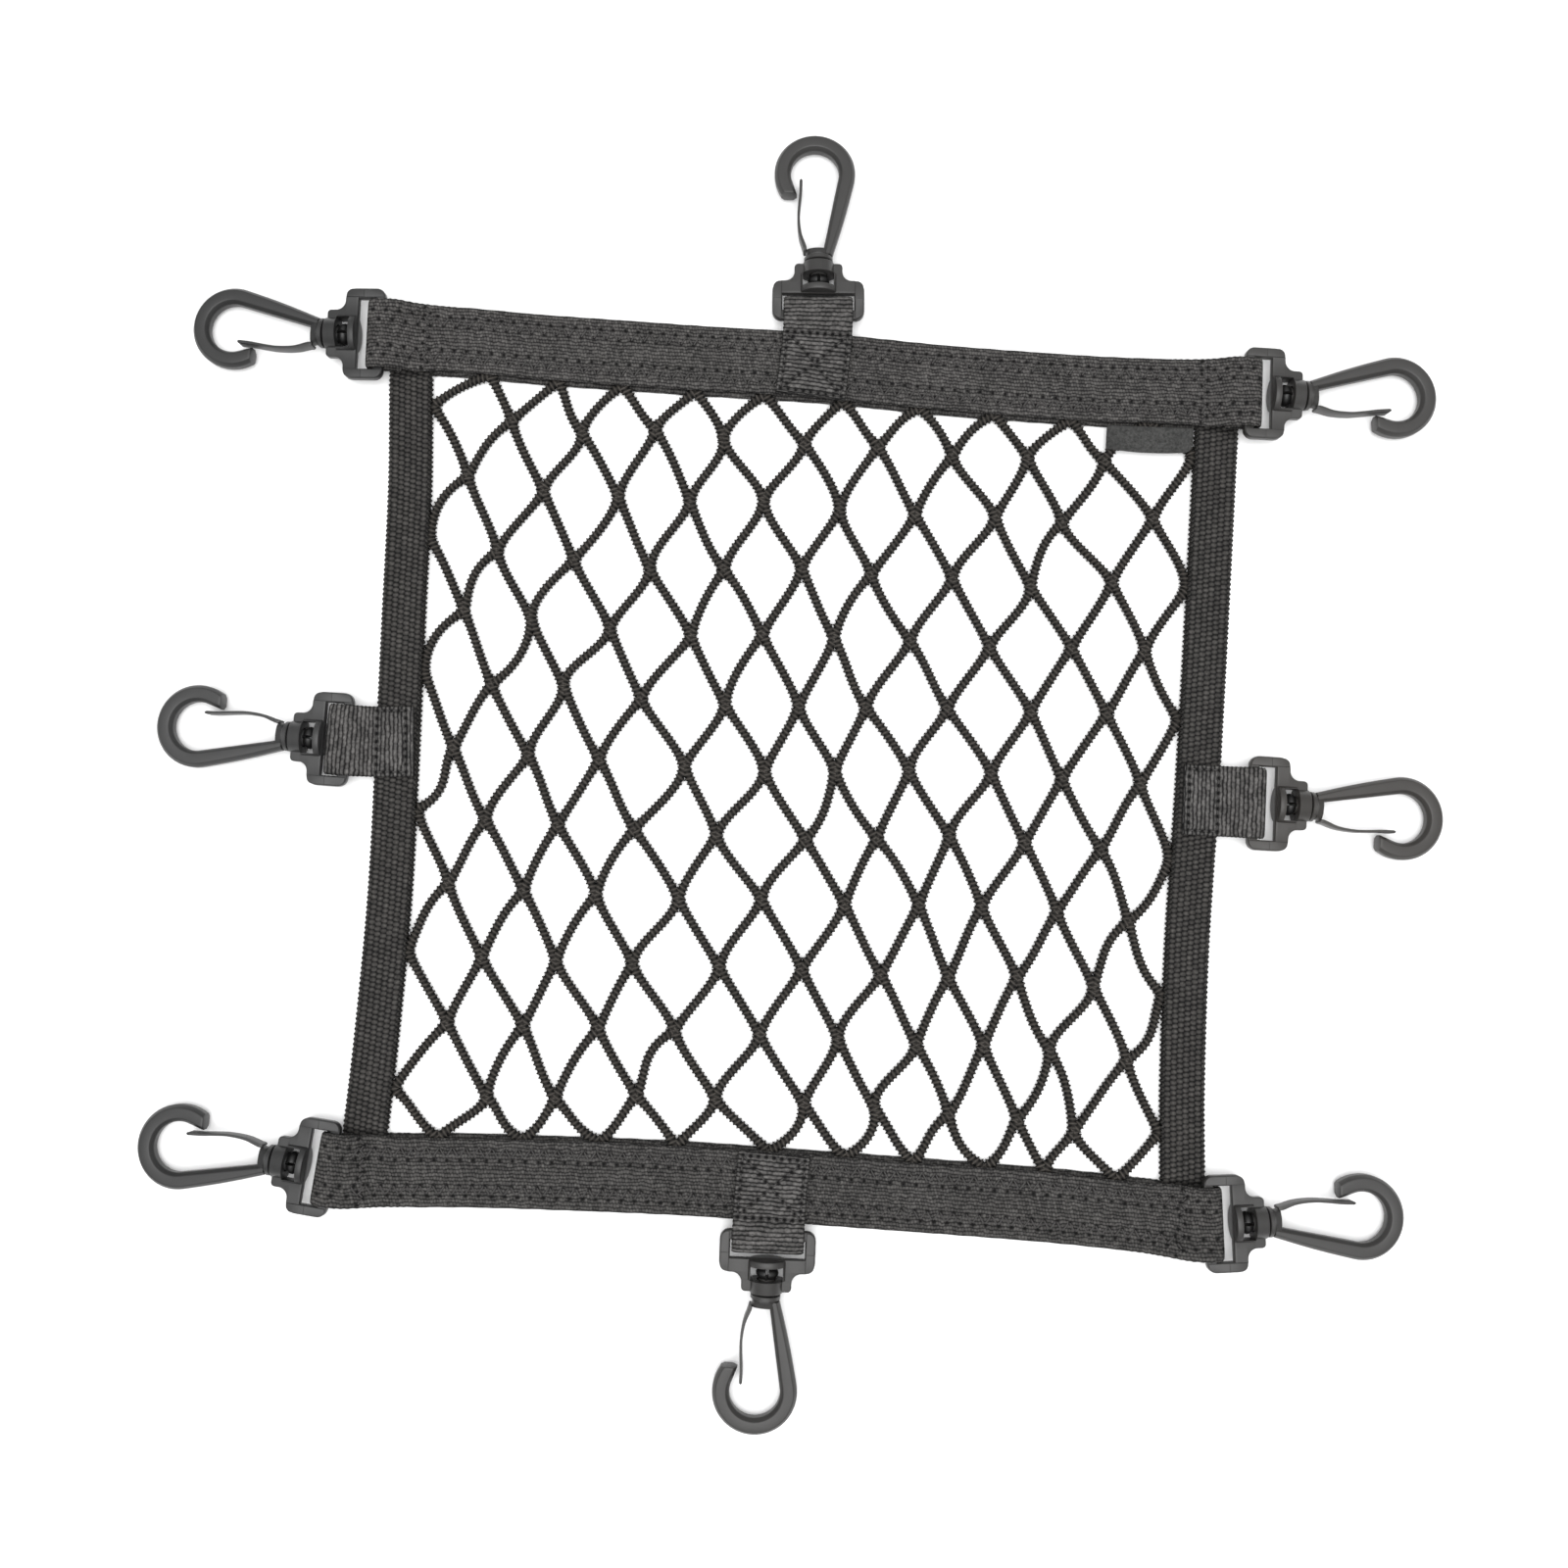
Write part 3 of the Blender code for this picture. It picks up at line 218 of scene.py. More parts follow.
# The crossings, row by row from the top band down: the odd half columns in the even rows, the even
# ones in the odd rows. The runs say how far each cord would shift sideways over a whole row if it
# kept the heading that it has there.
NET = (
    # x, y, run to the right, run in to the left, run on to the left
    (
        (-117.2, 143.2, 9, 0, -34), (-92.4, 142.7, 12, 0, -16), (-68.9, 142.5, 16, 0, -21),
        (-41.9, 142.3, 14, 0, -13), (-16.3, 142.4, 19, 0, -22), (12.2, 142.0, 20, 0, -14),
        (40.7, 141.1, 22, 0, -26), (68.4, 140.6, 13, 0, -28), (96.1, 140.2, 18, 0, -19),
        (124.5, 140.8, 28, 0, -23),
    ),
    (
        (-137.5, 130.4, 21, -12, 0), (-108.3, 126.8, 8, -15, -28), (-82.5, 124.4, 19, -6, 4),
        (-55.4, 126.9, 20, -4, -8), (-30.5, 125.9, 5, -6, 6), (-0.6, 125.3, 20, -7, -4),
        (26.4, 126.0, 19, -15, -14), (53.8, 124.1, 9, -10, -18), (81.4, 125.5, 12, -7, -5),
        (109.4, 125.8, 21, -6, -5), (141.6, 129.0, 4, 0, -10),
    ),
    (
        (-122.8, 105.3, 10, -11, -34), (-94.8, 101.3, 14, -4, -12), (-67.2, 100.9, 14, -3, -7),
        (-41.0, 100.8, 13, -3, -8), (-14.2, 103.2, 6, -8, -3), (13.9, 101.4, 6, -4, -10),
        (41.5, 101.4, 17, -8, -12), (70.8, 102.6, 11, -11, -7), (95.2, 101.9, 8, -16, -24),
        (128.3, 105.5, 14, -9, -14),
    ),
    (
        (-134.7, 81.0, 19, -1, 0), (-109.9, 78.1, 8, -8, -31), (-81.9, 76.7, 12, -20, -21),
        (-53.8, 74.9, 16, 1, -4), (-26.8, 76.6, 22, -4, -17), (1.3, 79.2, 14, -10, -6),
        (26.8, 78.3, 10, -15, -21), (56.4, 78.8, 14, -4, -11), (85.0, 77.7, 16, -6, -1),
        (114.5, 81.1, 14, -11, -10), (141.3, 80.0, 0, 0, -14),
    ),
    (
        (-120.3, 55.4, 14, -5, -34), (-95.5, 53.4, 12, 3, -2), (-66.9, 52.7, 12, -10, -1),
        (-37.2, 51.4, 13, -5, -15), (-11.3, 53.8, 14, -11, -17), (14.7, 54.1, 17, -6, -8),
        (42.4, 54.8, 20, -7, -12), (71.3, 54.5, 14, -11, -11), (101.1, 56.1, 15, -13, -15),
        (127.8, 56.7, 9, -8, -17),
    ),
    (
        (-133.0, 32.0, 15, -1, 0), (-108.3, 29.2, 14, -30, -18), (-82.0, 30.2, 13, 4, -2),
        (-53.7, 27.4, 14, -8, -17), (-23.1, 27.2, 16, -2, -7), (3.5, 28.2, 10, -10, -9),
        (27.9, 29.5, 20, -7, -9), (57.3, 31.0, 18, -10, -10), (87.5, 31.9, 14, -13, -10),
        (115.1, 32.9, 14, -15, -16), (140.9, 32.5, 19, 0, -11),
    ),
    (
        (-120.2, 5.2, 16, -13, -14), (-92.8, 4.2, 17, 0, -15), (-67.3, 4.4, 18, -7, -13),
        (-36.4, 4.3, 11, -12, -2), (-7.4, 4.7, 10, -11, -1), (18.0, 6.0, 12, -9, -5),
        (44.9, 7.4, 13, -1, -10), (74.5, 8.6, 13, -8, -9), (100.1, 8.1, 14, -14, -13),
        (128.4, 8.2, 10, -14, -19),
    ),
    (
        (-131.4, -17.8, 9, -38, 0), (-106.5, -20.1, 19, -3, -18), (-80.4, -19.9, 16, -14, -15),
        (-52.8, -19.9, 20, -20, -20), (-23.1, -20.1, 10, -7, -13), (9.0, -19.7, 17, -22, -15),
        (34.7, -17.7, 24, -8, -15), (60.7, -15.0, 16, -3, -9), (87.9, -15.7, 15, -13, -11),
        (115.4, -16.4, 19, -15, -18), (140.2, -19.0, 5, 0, -11),
    ),
    (
        (-118.1, -43.5, 10, -14, -26), (-90.9, -44.5, 16, -7, -23), (-64.8, -44.2, 10, -6, -20),
        (-35.2, -43.7, 14, -6, -4), (-5.4, -42.2, 16, -3, -10), (24.5, -42.0, 16, -9, -9),
        (51.2, -40.6, 14, -8, -14), (73.7, -39.5, 11, -11, -15), (100.8, -39.5, 11, -16, -15),
        (126.5, -41.4, 10, -27, -29),
    ),
    (
        (-130.7, -68.5, 14, -11, 0), (-104.1, -69.2, 15, -11, -10), (-77.4, -68.9, 12, -8, -11),
        (-50.0, -68.2, 12, -2, -15), (-18.8, -67.5, 16, -3, -8), (10.6, -66.0, 14, -14, -12),
        (39.0, -66.2, 18, -14, -13), (63.2, -65.7, 14, -12, -14), (87.7, -64.1, 11, -19, -15),
        (115.1, -65.2, 14, -10, 0), (139.8, -66.7, 29, 0, -12),
    ),
    (
        (-114.5, -93.2, 16, -7, -23), (-87.5, -92.5, 16, -12, -19), (-60.6, -91.8, 13, -10, -22),
        (-33.3, -90.8, 10, -12, -37), (-2.9, -90.2, 15, -8, -6), (25.1, -89.8, 14, -1, -4),
        (53.1, -90.0, 17, -9, -4), (77.1, -88.8, 12, -11, -13), (100.6, -89.0, 22, -2, -2),
        (128.3, -90.7, 8, -35, -22),
    ),
    (
        (-131.7, -117.5, 23, -15, 0), (-98.5, -118.2, 18, -4, -1), (-74.1, -117.6, 19, -9, -9),
        (-45.3, -114.4, 18, -11, -13), (-17.1, -113.9, 16, -2, -3), (14.3, -113.6, 18, -8, 1),
        (39.8, -113.7, 18, 8, 2), (66.0, -114.1, 8, -17, -23), (90.4, -114.2, 11, -22, -10),
        (110.7, -117.0, 6, -19, -8), (141.0, -115.4, 15, 0, -13),
    ),
    (
        (-114.1, -133.9, 28, -9, 0), (-84.5, -132.6, 29, -19, 0), (-57.1, -131.6, 31, -18, 0),
        (-29.9, -131.2, 13, -13, 0), (2.8, -131.0, 18, -29, 0), (30.0, -131.3, 22, -27, 0),
        (54.4, -131.5, 22, -15, 0), (79.8, -131.7, 32, -23, 0), (101.3, -132.0, 13, 0, 0),
        (126.4, -133.0, 15, -18, 0),
    ),
)


def smooth_line(known, at, first=None, last=None):
    """Heights and slopes, at places along a smooth line through (place, height) points."""
    place, height = np.array(known, float).T
    count = np.arange(len(place))
    before, after = np.maximum(count - 1, 0), np.minimum(count + 1, len(place) - 1)
    slope = (height[after] - height[before]) / (place[after] - place[before])
    slope[0] = slope[0] if first is None else first
    slope[-1] = slope[-1] if last is None else last
    at = np.asarray(at, float)
    held = np.clip(at, place[0], place[-1])
    k = np.clip(np.searchsorted(place, held, "right") - 1, 0, len(place) - 2)
    span = place[k + 1] - place[k]
    t = (held - place[k]) / span
    found = height[k] * (1 + 2 * t) * (1 - t) ** 2 + height[k + 1] * t * t * (3 - 2 * t)
    found += span * (slope[k] * t * (1 - t) ** 2 - slope[k + 1] * t * t * (1 - t))
    lean = 6 * t * (1 - t) * (height[k + 1] - height[k]) / span
    lean += slope[k] * (1 - t) * (1 - 3 * t) + slope[k + 1] * t * (3 * t - 2)
    return found + lean * (at - held), lean


def beside_collar(name, out):
    """The plan place out millimetres along the swivel from a snap hook's collar, and its angle."""
    _, x, y, facing, _, _ = next(row for row in HOOKS if row[0] == name)
    angle = math.radians(facing)
    return x + out * math.cos(angle), y + out * math.sin(angle), angle


def band_middle(which, x):
    """Middle line of a wide band: its y, and its slope, at x."""
    column = 1 if which == "top" else 2
    x0, y0, left = beside_collar(f"{which}_left", BAR_MIDDLE)
    x1, y1, right = beside_collar(f"{which}_right", BAR_MIDDLE)
    known = [(x0, y0), *((row[0], row[column]) for row in BAND_LINES), (x1, y1)]
    return smooth_line(known, x, math.tan(left), math.tan(right))


def side_middle(which, y):
    """Middle line of a side band: its x at y."""
    column = 1 if which == "left" else 2
    return smooth_line([(row[0], row[column]) for row in SIDE_LINES], y)[0]


def inner_edge(which, along):
    """The edge of a band that faces the netting: its y, or its x for a side band."""
    if which in ("top", "bottom"):
        inwards = -1 if which == "top" else 1
        return band_middle(which, along)[0] + inwards * BAND_WIDTH / 2
    return side_middle(which, along) + (1 if which == "left" else -1) * SIDE_WIDTH / 2


def crossing(column, row):
    """The crossing at a half column and a row, as it stands in the table."""
    return NET[row][column // 2]


def cord_between(upper, lower):
    """The middle line of a cord from one crossing to the next."""
    x0, y0, right, _, left = crossing(*upper)
    x1, y1, last_right, last_left, _ = crossing(*lower)
    first, last = (right, last_right) if lower[0] > upper[0] else (left, last_left)
    part = np.linspace(0.0, 1.0, CORD_POINTS)
    x = x0 + (x1 - x0) * part * part * (3 - 2 * part)
    x += first * part * (1 - part) ** 2 - last * part * part * (1 - part)
    return np.stack([x, y0 + (y1 - y0) * part], 1)


def cord_lines():
    """Each cord from the top band to the bottom one, turning back where it meets a side band."""
    for start in range(1, HALF_COLUMNS, 2):
        for way in (-1, 1):
            spot, runs = (start, 0), []
            for row in range(1, ROWS + 1):
                if not 0 <= spot[0] + way <= HALF_COLUMNS:
                    way = -way
                lower = (spot[0] + way, row)
                runs.append(cord_between(spot, lower)[:-1])
                spot = lower
            yield np.concatenate([*runs, [crossing(*spot)[:2]]])


def spaced(line, step):
    """The same line with its points a step apart, and how far along it each one is."""
    lengths = np.concatenate([[0.0], np.cumsum(np.linalg.norm(np.diff(line, axis=0), axis=1))])
    at = np.linspace(0.0, lengths[-1], max(int(round(lengths[-1] / step)), 2) + 1)
    return np.stack([np.interp(at, lengths, line[:, k]) for k in range(line.shape[1])], 1), at


def softened(line, times, closed=False):
    """The same line with its corners eased; the ends of an open line stay where they are."""
    for _ in range(times):
        eased = (np.roll(line, 1, 0) + 2 * line + np.roll(line, -1, 0)) / 4
        if not closed:
            eased[0], eased[-1] = line[0], line[-1]
        line = eased
    return line


def skin(points, lie, closed_along=False):
    """The quads over a grid of (station, round, xyz) points, round closed, with its ends capped."""
    stations, around = points.shape[:2]
    at = np.arange(stations * around).reshape(stations, around)
    along = np.roll(at, -1, 0) if closed_along else at[1:]
    first = at if closed_along else at[:-1]
    quads = np.stack([first, np.roll(first, -1, 1), np.roll(along, -1, 1), along], -1)
    faces = quads.reshape(-1, 4).tolist()
    if not closed_along:
        faces += [at[0][::-1].tolist(), at[-1].tolist()]
    return points.reshape(-1, 3), lie.reshape(-1, 3), faces


def faced_outwards(mesh, weld=0.0):
    """Turns all faces of a mesh outwards, once the points that lie closer than weld are joined."""
    form = bmesh.new()
    form.from_mesh(mesh)
    if weld:
        bmesh.ops.remove_doubles(form, verts=form.verts, dist=weld * MM)
    bmesh.ops.recalc_face_normals(form, faces=form.faces)
    form.to_mesh(mesh)
    form.free()
    return mesh


def made(name, skins, stuff):
    """A cloth piece from its skins. Where each point lies in the flat cloth goes with it."""
    faces, start = [], 0
    for points, _, own in skins:
        faces += [[k + start for k in face] for face in own]
        start += len(points)
    mesh = bpy.data.meshes.new(name)
    places = (np.concatenate([points for points, _, _ in skins]) - ORIGIN) * MM
    mesh.from_pydata(places.tolist(), [], faces)
    lie = mesh.attributes.new("lie", "FLOAT_VECTOR", "POINT")
    flat = np.concatenate([flat for _, flat, _ in skins])
    lie.data.foreach_set("vector", flat.astype(np.float32).ravel())
    faced_outwards(mesh)
    mesh.polygons.foreach_set("use_smooth", [True] * len(mesh.polygons))
    mesh.materials.append(stuff)
    return placed(name, mesh)


def group_tree(name, inputs, outputs):
    """A shader node group with named inputs and outputs, and its two end nodes."""
    group = bpy.data.node_groups.new(name, "ShaderNodeTree")
    for label, kind, value in inputs:
        socket = group.interface.new_socket(label, in_out="INPUT", socket_type=kind)
        if value is not None:
            socket.default_value = value
    for label, kind in outputs:
        group.interface.new_socket(label, in_out="OUTPUT", socket_type=kind)
    return group, group.nodes.new("NodeGroupInput"), group.nodes.new("NodeGroupOutput")


def sums(tree):
    """A short way to write sums with nodes: each gives the socket of its answer."""

    def work(kind, *values, clamp=False):
        node = tree.nodes.new("ShaderNodeMath")
        node.operation, node.use_clamp = kind, clamp
        for socket, value in zip(node.inputs, values):
            if isinstance(value, bpy.types.NodeSocket):
                tree.links.new(value, socket)
            else:
                socket.default_value = value
        return node.outputs[0]

    return work


def split(tree, vector):
    """The sockets of a vector's three parts."""
    node = tree.nodes.new("ShaderNodeSeparateXYZ")
    tree.links.new(vector, node.inputs[0])
    return node.outputs


def braid_group():
    """The loops of a cord, slanting across it: how high they stand, with deep gaps at its rims."""
    group, given, gives = group_tree(
        "braided loops",
        [
            ("Lie", "NodeSocketVector", None),
            ("Pitch", "NodeSocketFloat", 1.65),
            ("Gaps", "NodeSocketFloat", 0.8),
            ("Rim", "NodeSocketFloat", 0.25),
        ],
        [("Height", "NodeSocketFloat")],
    )
    work = sums(group)
    along, across, _ = split(group, given.outputs["Lie"])
    turns = work("ADD", work("DIVIDE", along, given.outputs["Pitch"]), LOOP_SLANT)
    turns = work("ADD", turns, work("DIVIDE", across, 1 / LOOP_SLANT))
    wave = work("COSINE", work("MULTIPLY", turns, math.tau))
    crest = work("MULTIPLY", work("ADD", wave, 1.0), 0.5)
    gaps = given.outputs["Gaps"]
    outer = work("ADD", work("MULTIPLY", work("MULTIPLY", across, across), gaps), gaps)
    height = work("SUBTRACT", 1.0, work("MULTIPLY", work("SUBTRACT", 1.0, crest), outer))
    edge = work("POWER", work("ABSOLUTE", across), 4.0)
    height = work("SUBTRACT", height, work("MULTIPLY", edge, given.outputs["Rim"]), clamp=True)
    group.links.new(height, gives.inputs["Height"])
    return group


def speckle_group():
    """Loose fibres and dust: soft clouds and fine specks that lighten or darken a colour."""
    group, given, gives = group_tree(
        "fibre and dust",
        [
            ("Lie", "NodeSocketVector", None),
            ("Color", "NodeSocketColor", None),
            ("Clouds", "NodeSocketFloat", 0.2),
            ("Specks", "NodeSocketFloat", 0.3),
            ("Cloud Scale", "NodeSocketFloat", 0.08),
            ("Speck Scale", "NodeSocketFloat", 2.2),
        ],
        [("Color", "NodeSocketColor"), ("Speck", "NodeSocketFloat")],
    )
    work = sums(group)
    values = []
    for scale, share in (("Cloud Scale", "Clouds"), ("Speck Scale", "Specks")):
        noise = group.nodes.new("ShaderNodeTexNoise")
        noise.inputs["Detail"].default_value = 2.0
        group.links.new(given.outputs["Lie"], noise.inputs["Vector"])
        group.links.new(given.outputs[scale], noise.inputs["Scale"])
        centred = work("SUBTRACT", work("MULTIPLY", noise.outputs["Fac"], 2.0), 1.0)
        values.append(work("MULTIPLY", centred, given.outputs[share]))
        speck = noise.outputs["Fac"]
    gain = work("MULTIPLY", work("ADD", values[0], 1.0), work("ADD", values[1], 1.0))
    tint = group.nodes.new("ShaderNodeVectorMath")
    tint.operation = "SCALE"
    group.links.new(given.outputs["Color"], tint.inputs[0])
    group.links.new(gain, tint.inputs["Scale"])
    group.links.new(tint.outputs[0], gives.inputs["Color"])
    group.links.new(speck, gives.inputs["Speck"])
    return group


def placed_group(tree, group, lie=None, **values):
    """A group in a material, with its named inputs set to values or joined to other sockets."""
    node = tree.nodes.new("ShaderNodeGroup")
    node.node_tree = group
    if lie is not None:
        tree.links.new(lie, node.inputs["Lie"])
    for label, value in values.items():
        socket = node.inputs[label.replace("_", " ").title()]
        if isinstance(value, bpy.types.NodeSocket):
            tree.links.new(value, socket)
        else:
            socket.default_value = value
    return node


def blend_colour(tree, share, low, high):
    """A colour that runs from low to high with share; each is a colour or a socket."""
    node = tree.nodes.new("ShaderNodeMix")
    node.data_type = "RGBA"
    tree.links.new(share, node.inputs["Factor"])
    colours = [socket for socket in node.inputs if socket.type == "RGBA"]
    for socket, value in zip(colours, (low, high)):
        if isinstance(value, bpy.types.NodeSocket):
            tree.links.new(value, socket)
        else:
            socket.default_value = (*value, 1.0)
    return next(socket for socket in node.outputs if socket.type == "RGBA")


def finish(name, roughness, specular):
    """A material with its Principled shader, its own place in the cloth, and its node tree."""
    stuff = bpy.data.materials.new(name)
    tree = shader_tree(stuff)
    shader = tree.nodes.new("ShaderNodeBsdfPrincipled")
    shader.inputs["Roughness"].default_value = roughness
    shader.inputs["Specular IOR Level"].default_value = specular
    out = tree.nodes.new("ShaderNodeOutputMaterial")
    tree.links.new(shader.outputs[0], out.inputs["Surface"])
    where = tree.nodes.new("ShaderNodeAttribute")
    where.attribute_name = "lie"
    return stuff, tree, shader, where.outputs["Vector"]


def raised(tree, shader, height, distance):
    """The relief that a height from 0 to 1 gives, distance millimetres deep."""
    bump = tree.nodes.new("ShaderNodeBump")
    bump.inputs["Distance"].default_value = distance * MM
    bump.inputs["Strength"].default_value = 1.0
    tree.links.new(height, bump.inputs["Height"])
    tree.links.new(bump.outputs[0], shader.inputs["Normal"])


def cord_finish():
    """Dull dark yarn with a brown cast on top, and painted shade: almost black in the gaps between
    its loops, and darker at its rims.
    """
    stuff, tree, shader, lie = finish("netting cord", CORD_ROUGHNESS, CORD_GLOSS)
    braid = placed_group(tree, BRAID, lie, pitch=LOOP_PITCH, gaps=0.8, rim=0.25)
    # the colour follows the loops' height: painted shade where they dip and at the rims
    colour = blend_colour(tree, braid.outputs["Height"], CORD_GAP_SHADE, CORD_LIGHT)
    dusty = placed_group(tree, SPECKLE, lie, color=colour, clouds=0.2, specks=0.8, speck_scale=0.9)
    tree.links.new(dusty.outputs["Color"], shader.inputs["Base Color"])
    raised(tree, shader, braid.outputs["Height"], CORD_RELIEF)
    return stuff


def netting_skins():
    """Each cord's skin: its loops stand out on both sides, and its hem is flattened between."""
    marks = np.array([spot[:2] for row in NET for spot in row])
    across, height, swell, phase = np.array(CORD_SECTION).T[:, None, :]
    for number, line in enumerate(cord_lines()):
        line, _ = spaced(line, LOOP_PITCH / LOOP_STEPS)
        line, _ = spaced(softened(line, CORD_EASING), LOOP_PITCH / LOOP_STEPS)
        turns = np.arange(len(line)) / LOOP_STEPS
        along = turns * LOOP_PITCH + number * CORD_APART
        heading = np.gradient(line, axis=0)
        heading /= np.linalg.norm(heading, axis=1)[:, None]
        beside = np.stack([heading[:, 1], -heading[:, 0]], 1)
        near = np.min(np.linalg.norm(line[:, None] - marks[None], axis=2), axis=1)
        half = CORD_WIDTH / 2 + CROSSING_SWELL * np.exp(-((near / SWELL_REACH) ** 2))
        loops = np.cos(2 * math.pi * (turns[:, None] + phase))
        reach = across * half[:, None] + np.sign(across) * swell * loops
        points = np.empty((len(line), len(CORD_SECTION), 3))
        points[:, :, :2] = line[:, None] + beside[:, None] * reach[:, :, None]
        points[:, :, 2] = height * CORD_THICKNESS + (height > 0.5) * swell * LOOP_RISE * loops
        x, y, z = points.transpose(2, 0, 1)
        out = np.minimum.reduce(
            [
                inner_edge("top", x) - y,
                y - inner_edge("bottom", x),
                x - inner_edge("left", y),
                inner_edge("right", y) - x,
            ]
        )
        full = np.clip((out - PINCH_END) / (PINCH_START - PINCH_END), 0.0, 1.0)
        hem = HEM_BOTTOM + HEM_THICKNESS * z / CORD_THICKNESS
        points[:, :, 2] = hem + (z - hem) * full
        yield skin(points, np.stack(np.broadcast_arrays(along[:, None], across, height), 2))


BRAID, SPECKLE = braid_group(), speckle_group()
netting = made("netting_cords", list(netting_skins()), cord_finish())
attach(netting, "net")
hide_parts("netting")

# ---------------------------------------------------------------- wide bands
# One strip of ribbed webbing for the top and one for the bottom, looped round the bars of its two
# corner hooks, its two layers sewn together over the netting with two rows of zigzag stitches.
LAYER = 1.3  # the thickness of the webbing
SLIT = HEM_THICKNESS + 2 * GAP
LOW, HIGH = LAYER / 2, LAYER * 1.5 + SLIT  # the middles of the lower and of the upper layer
UPPER_FROM = 3.0  # the height over which a point is on the upper layer
LEVEL_FROM = HIGH - 0.3  # and over which it is on that layer's level part
BAND_FOLD, BAND_STEP, BAND_EASING = -14.7, 0.6, 8
BAND_COLUMNS, BAND_END, BAND_THINNING = 29, 27.0, 4  # away from its ends it needs fewer points
HEM_STRIP = 1.2  # how much wider the upper layer is, on the band's outer side
STRIP_START, STRIP_RUN = 14.0, 8.0  # where it widens, from the hooks' bars
EDGE_WAVE, EDGE_WAVES, EDGE_REACH = 0.10, (2.7, 0.61), 6
EDGE_CROWDING, EDGE_SQUARENESS, EDGE_LIFT = 0.35, 14, 0.1
FRAME_HALF_HEIGHT, BARREL_HEIGHT, SWIVEL_DROP = 1.5, 6.2, 3.3
WINDOW_TOP, WINDOW_END = -4.6, -9.5
STRAP_SLACK = 0.1
ZIGZAG_IN, ZIGZAG_HALF, ZIGZAG_PITCH, ZIGZAG_MARGIN = 6.2, 1.8, 2.3, 7.0
SEAM_HALF, SEAM_SINK, PUCKER_SINK, SINK_RUN = 2.6, 0.10, 0.07, 6.0
THREAD, THREAD_DEPTH, HOLE_SIZE, HOLE_RIM, HOLE_DEPTH = 0.30, 0.12, 0.78, 1.35, 1.6
THREAD_RISE = (-2.4, 0.2, 0.75, 0.75, 0.2, -2.4)  # along a stitch, in thread radii
THREAD_SIDES, THREAD_ROUGHNESS, THREAD_RELIEF = 5, 0.8, 0.08
BAND_UNDER = (
    # in from the bar's middle, height over the lower layer's level part
    (25.0, 0.0),
    (11.0, 0.0),
    (9.3, 0.4),
)
BAND_OVER = (
    # in from the bar's middle, height over the upper layer's level part
    (12.0, 2.3),
    (18.0, 0.8),
    (25.0, 0.0),
)
BAND_DIP, BAND_RISE = (4.2, -2.9), (6.0, 2.1)  # beside the bar: in from its middle, over it
STRAP_BENDS = (
    # in from the fold, in from the loop's lower or upper level
    (2.2, 0.1),
    (0.7, 1.0),
)
STRAP_ENTRY = 2.0  # how far in from the bar's middle a strap is level
END_SEAMS = {"top": (-141.2, 143.8), "bottom": (-139.4, 148.9)}
END_SEAM_HALF, END_SEAM_STEPS = 0.9, 10
END_SEAM_LONG = END_SEAM_STEPS * ZIGZAG_PITCH / 2
RIB_PITCH, RIB_WANDER, RIB_RELIEF = 1.36, 0.22, 0.35
UNSEEN = -500.0  # the place in the cloth of what faces down or inwards
UP = np.array((0.0, 0.0, 1.0))
CLOTH_ROUGHNESS, CLOTH_GLOSS = 0.9, 0.2
# painted shade: the colour of the weave's hollows, and the near black of the needle holes
WEBBING_GROOVE_SHADE, HOLE_SHADE = (0.006, 0.006, 0.006), (0.002, 0.002, 0.002)
WEBBING_LIGHT = {"top": (0.090, 0.086, 0.083), "bottom": (0.077, 0.074, 0.071)}
THREAD_COLOUR = (0.052, 0.050, 0.049)


def axis_height(out):
    """Height of a swivel axis over the surface, out millimetres from the collar."""
    window_middle = (WINDOW_TOP + WINDOW_END) / 2
    return BARREL_HEIGHT - (out - window_middle) * math.tan(math.radians(SWIVEL_DROP))


BAR_HEIGHT = axis_height(BAR_MIDDLE)


def loop_path(fold, layer):
    """A strap round a bar, from under it, as (distance from the bar inwards, height)."""
    out = BAR_MIDDLE - fold + layer / 2
    offset = FRAME_HALF_HEIGHT + GAP + STRAP_SLACK + layer / 2
    low, high = BAR_HEIGHT - offset, BAR_HEIGHT + offset
    below = [(out + bend, low + inwards) for bend, inwards in STRAP_BENDS]
    above = [(out + bend, high - inwards) for bend, inwards in STRAP_BENDS[::-1]]
    return [(STRAP_ENTRY, low), *below, (out, BAR_HEIGHT), *above, (STRAP_ENTRY, high)]


def band_path(which):
    """The middle line of a wide band's thickness, as (x, height) all the way round."""
    start, end = (beside_collar(f"{which}_{side}", BAR_MIDDLE)[0] for side in ("left", "right"))
    end_path = [(run, LOW + rise) for run, rise in BAND_UNDER]
    end_path += [(BAND_DIP[0], BAR_HEIGHT + BAND_DIP[1]), *loop_path(BAND_FOLD, LAYER)]
    end_path += [(BAND_RISE[0], BAR_HEIGHT + BAND_RISE[1])]
    end_path += [(run, HIGH + rise) for run, rise in BAND_OVER]
    left = [(start + run, height) for run, height in end_path]
    right = [(end - run, height) for run, height in end_path][::-1]
    line, _ = spaced(np.array([*left, *right, left[0]]), BAND_STEP)
    return softened(line[:-1], BAND_EASING, True), start, end


def cloth_section(width, columns, thick):
    """Round a strap's section: across, and how far from its middle each point is."""
    u = np.sin(np.linspace(-math.pi / 2, math.pi / 2, columns)) * EDGE_CROWDING
    u += np.linspace(-1, 1, columns) * (1 - EDGE_CROWDING)
    lift = (1 - np.abs(u) ** EDGE_SQUARENESS) ** 0.5 * thick / 2
    across = np.concatenate([u, u[-2:0:-1]]) * width / 2
    return across, np.concatenate([lift, -lift[-2:0:-1]])


